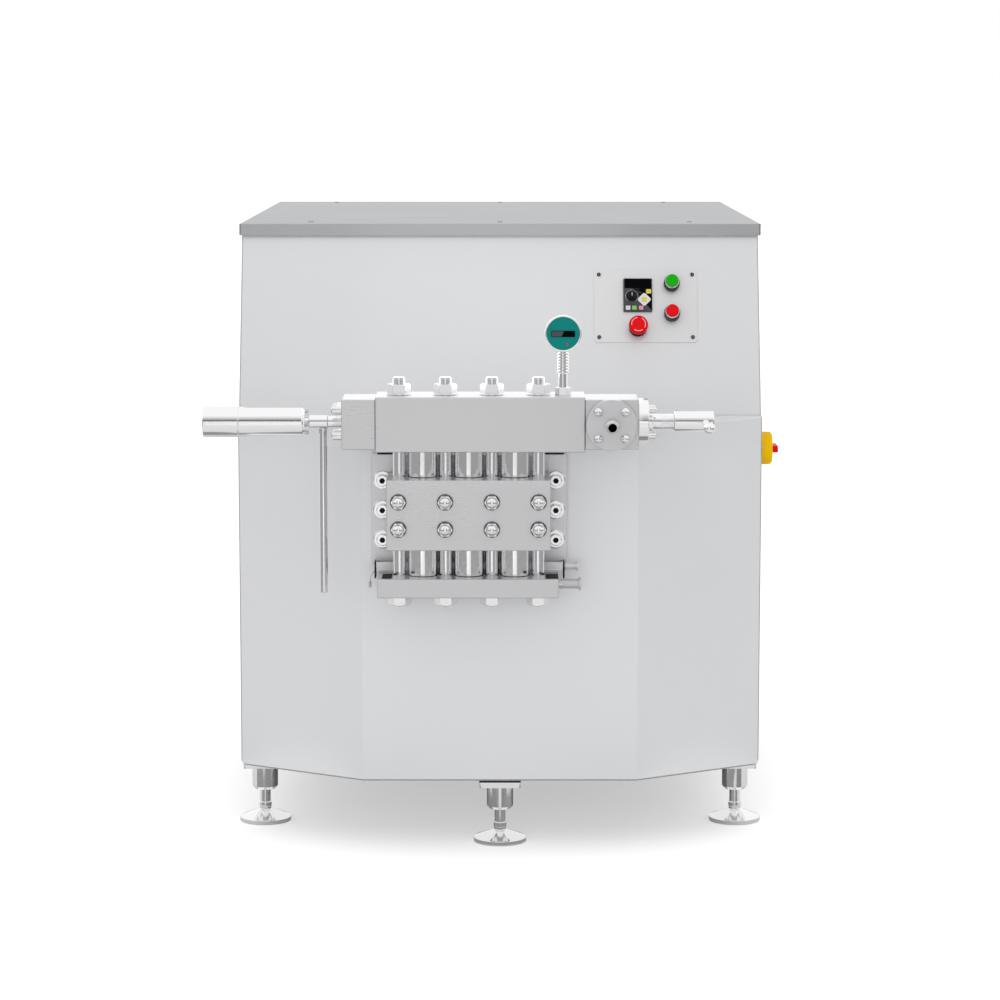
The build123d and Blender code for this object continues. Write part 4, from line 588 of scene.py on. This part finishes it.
def make_keypad_front():
    pane = bmesh.new()
    add_prism(pane, keypad_at(0, 24.0, 0), rounded_rectangle(54.6, 19.6, 0.8), -0.6, 0.3)
    make_piece(pane, "keypad_display", "display", bevel=0.0003)
    marks = bmesh.new()
    for step in range(19):
        angle = math.radians(-40 + 14.5 * step)
        x = KNOB[0] + 13.0 * math.cos(angle)
        up = KNOB[1] + 13.0 * math.sin(angle)
        add_lathe(marks, keypad_at(x, up, 0), [(-0.1, 0), (-0.1, 0.75), (0.12, 0.7), (0.15, 0)], 12)
    make_piece(marks, "knob_scale", "white_key", bevel=0)
    gap = bmesh.new()
    for dx, dup in ((0, 8.9), (0, -8.9), (-8.9, 0), (8.9, 0)):
        add_lathe(gap, keypad_at(PAD[0] + dx, PAD[1] + dup, 1.6), [(-0.1, 0), (-0.1, 1.0), (0.15, 0.9), (0.18, 0)], 3)
    make_piece(gap, "pad_marks", "mark", body="arrow_pad", bevel=0)


def make_key_marks():
    for name, x, up, body in (("jog_mark", -20.4, -28.4, "jog_key"), ("run_mark", -7.4, -28.4, "run_key"),
                              ("stop_mark", 6.6, -28.4, "stop_key"), ("menu_mark", 22.6, 6.9, "menu_key")):
        bm = bmesh.new()
        add_prism(bm, keypad_at(x, up, 1.6), rounded_rectangle(4.6, 1.1, 0.4), -0.1, 0.15)
        make_piece(bm, name, "mark", body=body, bevel=0)


def make_knob_ribs():
    """Grip ribs and a pointer on the speed knob."""
    bm = bmesh.new()
    for step in range(18):
        angle = math.radians(20 * step)
        base = keypad_at(*KNOB, 0) @ Matrix.Rotation(angle, 4, "Z")
        add_tube(bm, base, [(8.6, 0, 4.4), (7.7, 0, 16.8)], 0.6, 8)
    make_piece(bm, "knob_ribs", "black", body="speed_knob", bevel=0)
    pointer = bmesh.new()
    add_prism(pointer, keypad_at(*KNOB, 18), rounded_rectangle(1.1, 7.0, 0.5), -0.3, 0.25)
    make_piece(pointer, "knob_pointer", "white_key", body="speed_knob", bevel=0)


def make_button_rings():
    collars = bmesh.new()
    for x, up in BUTTONS:
        profile = [(0, 15.4), (0, 16.5), (18.4, 16.5), (19.3, 15.9), (19.3, 14.8), (18.0, 14.8)]
        add_lathe(collars, control_at(x, up, 2), profile, closed=True)
    base = control_at(ESTOP[0], ESTOP[1], 2)
    profile = [(0, 15.3), (0, 18.6), (2.5, 18.6), (12.0, 15.4), (12.2, 12.8), (5.8, 12.8)]
    add_lathe(collars, base, profile, closed=True)
    make_piece(collars, "button_collars", "black")
    for name, (x, up), finish, slot in (("start_ring", BUTTONS[0], "green", "cap_green"),
                                        ("stop_ring", BUTTONS[1], "red", "cap_red")):
        bm = bmesh.new()
        profile = [(29.1, 12.4), (29.1, 13.2), (30.6, 13.2), (32.0, 12.2), (32.2, 10.9), (31.8, 10.4), (31.8, 0)]
        add_lathe(bm, control_at(x, up, 2), profile)
        make_piece(bm, name, finish, body=name.replace("ring", "button"), bevel=0.0002)


def make_estop_marks():
    bm = bmesh.new()
    base = control_at(ESTOP[0], ESTOP[1], 2)
    for start, end in ((98, 188), (-30, 62), (232, 308)):
        points = []
        for step in range(13):
            angle = math.radians(start + (end - start) * step / 12)
            points.append((14.3 * math.cos(angle), 14.3 * math.sin(angle), 32.2))
        add_tube(bm, base, points, 0.75, 8)
    make_piece(bm, "estop_marks", "pale_mark", body="estop_head", bevel=0)


# Main switch and feet
def make_switch_ring():
    bm = bmesh.new()
    profile = [(0, 20), (0, 36.5), (1.6, 36.5), (2.4, 35.6), (2.4, 20)]
    add_lathe(bm, right_at(540, -445, 803), profile, closed=True)
    make_piece(bm, "switch_back_plate", "black")
    ridges = bmesh.new()
    for step in range(36):
        turn = Matrix.Rotation(math.radians(10 * step), 4, "Z")
        add_tube(ridges, right_at(540, -445, 803) @ turn, [(33.6, 0, 5), (33.0, 0, 21)], 0.7, 8)
    make_piece(ridges, "switch_ridges", "yellow", bevel=0)


def make_foot_details():
    for name, (x, y) in FEET.items():
        bm = bmesh.new()
        add_prism(bm, top_at(x, y, 0), regular(6, 21), 24.4, 30.6)
        ring = [(67.0, 11.0), (67.0, 11.6), (67.8, 12.2), (69.2, 12.2), (69.2, 11.0)]
        add_lathe(bm, top_at(x, y, 0), ring, closed=True)
        make_piece(bm, name + "_joint", "bright", body=name)
    gaskets = bmesh.new()
    for x, y in FEET.values():
        add_prism(gaskets, top_at(x, y, 0), rounded_rectangle(85.6, 85.6, 4), 131.4, 134.0)
    make_piece(gaskets, "sleeve_gaskets", "rubber", bevel=0)


# Stage, light and camera
def make_stage():
    world = bpy.data.worlds.new("studio")
    scene.world = world
    world.use_nodes = True
    nodes = world.node_tree.nodes
    links = world.node_tree.links
    background = nodes["Background"]
    path = nodes.new("ShaderNodeLightPath")
    seen = nodes.new("ShaderNodeMath")
    seen.operation = "MAXIMUM"
    links.new(path.outputs["Is Camera Ray"], seen.inputs[0])
    links.new(path.outputs["Is Transmission Ray"], seen.inputs[1])
    seen_or_glossy = nodes.new("ShaderNodeMath")
    seen_or_glossy.operation = "MAXIMUM"
    links.new(seen.outputs["Value"], seen_or_glossy.inputs[0])
    links.new(path.outputs["Is Glossy Ray"], seen_or_glossy.inputs[1])
    strength = nodes.new("ShaderNodeMapRange")
    strength.inputs["To Min"].default_value = 0.95
    strength.inputs["To Max"].default_value = 1.0
    links.new(seen_or_glossy.outputs["Value"], strength.inputs["Value"])
    links.new(strength.outputs["Result"], background.inputs["Strength"])
    background.inputs["Color"].default_value = (1, 1, 1, 1)


def make_floor():
    size = 120.0
    mesh = bpy.data.meshes.new("floor")
    half = size / 2
    mesh.from_pydata([(-half, -half, 0), (half, -half, 0), (half, half, 0), (-half, half, 0)], [], [(0, 1, 2, 3)])
    floor = bpy.data.objects.new("floor", mesh)
    scene.collection.objects.link(floor)
    material = bpy.data.materials.new("floor_white")
    material.use_nodes = True
    nodes = material.node_tree.nodes
    links = material.node_tree.links
    nodes.clear()
    output = nodes.new("ShaderNodeOutputMaterial")
    diffuse = nodes.new("ShaderNodeBsdfDiffuse")
    diffuse.inputs["Color"].default_value = (0.8, 0.8, 0.8, 1)
    glow = nodes.new("ShaderNodeEmission")
    glow.inputs["Strength"].default_value = 0.3
    path = nodes.new("ShaderNodeLightPath")
    lift = nodes.new("ShaderNodeMath")
    lift.operation = "MULTIPLY"
    lift.inputs[1].default_value = 0.45
    links.new(path.outputs["Is Camera Ray"], lift.inputs[0])
    links.new(lift.outputs["Value"], glow.inputs["Strength"])
    both = nodes.new("ShaderNodeAddShader")
    links.new(diffuse.outputs["BSDF"], both.inputs[0])
    links.new(glow.outputs["Emission"], both.inputs[1])
    links.new(both.outputs["Shader"], output.inputs["Surface"])
    mesh.materials.append(material)


def make_card(name, mesh, brightness):
    """Card that only reflections see, as a studio sets beside bright metal."""
    card = bpy.data.objects.new(name, mesh)
    card.visible_camera = False
    card.visible_diffuse = False
    card.visible_shadow = False
    card.visible_transmission = False
    scene.collection.objects.link(card)
    material = bpy.data.materials.new(name)
    material.use_nodes = True
    nodes = material.node_tree.nodes
    nodes.clear()
    glow = nodes.new("ShaderNodeEmission")
    glow.inputs["Color"].default_value = (brightness, brightness, brightness, 1)
    output = nodes.new("ShaderNodeOutputMaterial")
    material.node_tree.links.new(glow.outputs["Emission"], output.inputs["Surface"])
    mesh.materials.append(material)


def make_wall_flag(name, start, end, heights, radius, brightness):
    """Curved wall card round the pump head, from one bearing to another, 180 degrees being the front."""
    mesh = bpy.data.meshes.new(name)
    vertices = []
    steps = 24
    for step in range(steps + 1):
        bearing = math.radians(start + (end - start) * step / steps)
        for height in heights:
            vertices.append((-0.06 + radius * math.sin(bearing), -0.76 + radius * math.cos(bearing), height))
    faces = [(2 * step, 2 * step + 1, 2 * step + 3, 2 * step + 2) for step in range(steps)]
    mesh.from_pydata(vertices, [], faces)
    make_card(name, mesh, brightness)


def make_flat_card(name, corners, brightness):
    mesh = bpy.data.meshes.new(name)
    mesh.from_pydata(corners, [], [tuple(range(len(corners)))])
    make_card(name, mesh, brightness)


def make_fading_card(name, middle, width, bottom, top, y):
    """Upright card in front, dark at its foot and fading to white at its head."""
    levels = ((0.00, 0.10), (0.14, 0.11), (0.16, 0.30), (0.32, 0.48), (0.55, 0.72), (1.00, 1.00))
    for index, (level, brightness) in enumerate(zip(levels, levels[1:])):
        low = bottom + (top - bottom) * level[0]
        high = bottom + (top - bottom) * brightness[0]
        steps = max(1, round((high - low) / 0.02))
        for step in range(steps):
            z0 = low + (high - low) * step / steps
            z1 = low + (high - low) * (step + 1) / steps
            shade = level[1] + (brightness[1] - level[1]) * (step + 0.5) / steps
            corners = [(middle - width / 2, y, z0), (middle + width / 2, y, z0),
                       (middle + width / 2, y, z1), (middle - width / 2, y, z1)]
            make_flat_card(f"{name}_{index}_{step}", corners, shade)


def make_floor_flag(name, x, y, start, end, brightness):
    """Dark sector on the floor beside a foot, which the foot's sleeve mirrors."""
    spots = []
    for radius, turn in ((0.14, 1), (0.62, -1)):
        for step in range(9):
            share = step / 8 if turn == 1 else 1 - step / 8
            bearing = math.radians(start + (end - start) * share)
            spots.append((x + radius * math.sin(bearing), y - radius * math.cos(bearing), 0.003))
    make_flat_card(name, spots, brightness)


def make_lamp(name, place, target, size, power):
    light = bpy.data.lights.new(name, "AREA")
    light.shape = "RECTANGLE"
    light.size = size[0]
    light.size_y = size[1]
    light.energy = power
    lamp = bpy.data.objects.new(name, light)
    lamp.location = place
    lamp.visible_glossy = False
    lamp.rotation_euler = (Vector(target) - Vector(place)).to_track_quat("-Z", "Y").to_euler()
    scene.collection.objects.link(lamp)


def make_camera():
    data = bpy.data.cameras.new("camera")
    data.lens = LENS
    data.sensor_width = SENSOR
    camera = bpy.data.objects.new("camera", data)
    camera.location = CAMERA_AT
    camera.rotation_euler = (CAMERA_TILT, 0, 0)
    scene.collection.objects.link(camera)
    scene.camera = camera


make_camera()
dress_nodes()
for make in (make_stud_threads, make_nut_washers, make_dome_shade_washers, make_screw_washers, make_socket_shade_floors,
             make_manifold_shade_pads, make_valve_joints,
             make_tray_brackets, make_cylinder_screws, make_stem_threads, make_outlet_lip, make_gauge_front,
             make_plate_screws, make_keypad_front, make_key_marks, make_knob_ribs, make_button_rings,
             make_estop_marks, make_switch_ring, make_foot_details):
    make()
make_stage()
make_floor()
make_wall_flag("left_flag", 180 + 16, 180 + 100, (0.0, 1.3), 3.2, 0.34)
make_wall_flag("right_flag", 180 - 100, 180 - 16, (0.0, 1.3), 3.2, 0.34)
make_fading_card("left_fade", -0.66, 0.60, 1.07, 2.30, -2.0)
make_fading_card("right_fade", 0.62, 0.60, 1.07, 2.30, -2.0)
make_flat_card("head_card", [(-0.33, -0.62, 0.92), (0.29, -0.62, 0.92), (0.29, -0.62, 1.30), (-0.33, -0.62, 1.30)], 1.5)
make_flat_card("head_card_back", [(-0.33, -0.615, 0.92), (0.29, -0.615, 0.92), (0.29, -0.615, 1.30),
                                  (-0.33, -0.615, 1.30)], 1.0)
make_flat_card("under_card", [(-0.56, -0.67, 0.137), (0.56, -0.67, 0.137), (0.56, 0.89, 0.137), (-0.56, 0.89, 0.137)],
               0.85)
for foot, (foot_x, foot_y) in (("nose", (0.0, -0.58)), ("left", (-0.499, -0.391)), ("right", (0.499, -0.391))):
    make_floor_flag(foot + "_floor_flag_left", foot_x, foot_y, -12, -75, 0.30)
    make_floor_flag(foot + "_floor_flag_right", foot_x, foot_y, 12, 58, 0.24)
make_lamp("front_lamp", (-1.2, -6.5, 1.2), (0, -0.6, 0.4), (2.5, 2.5), 40)

scene.view_settings.view_transform = "Standard"
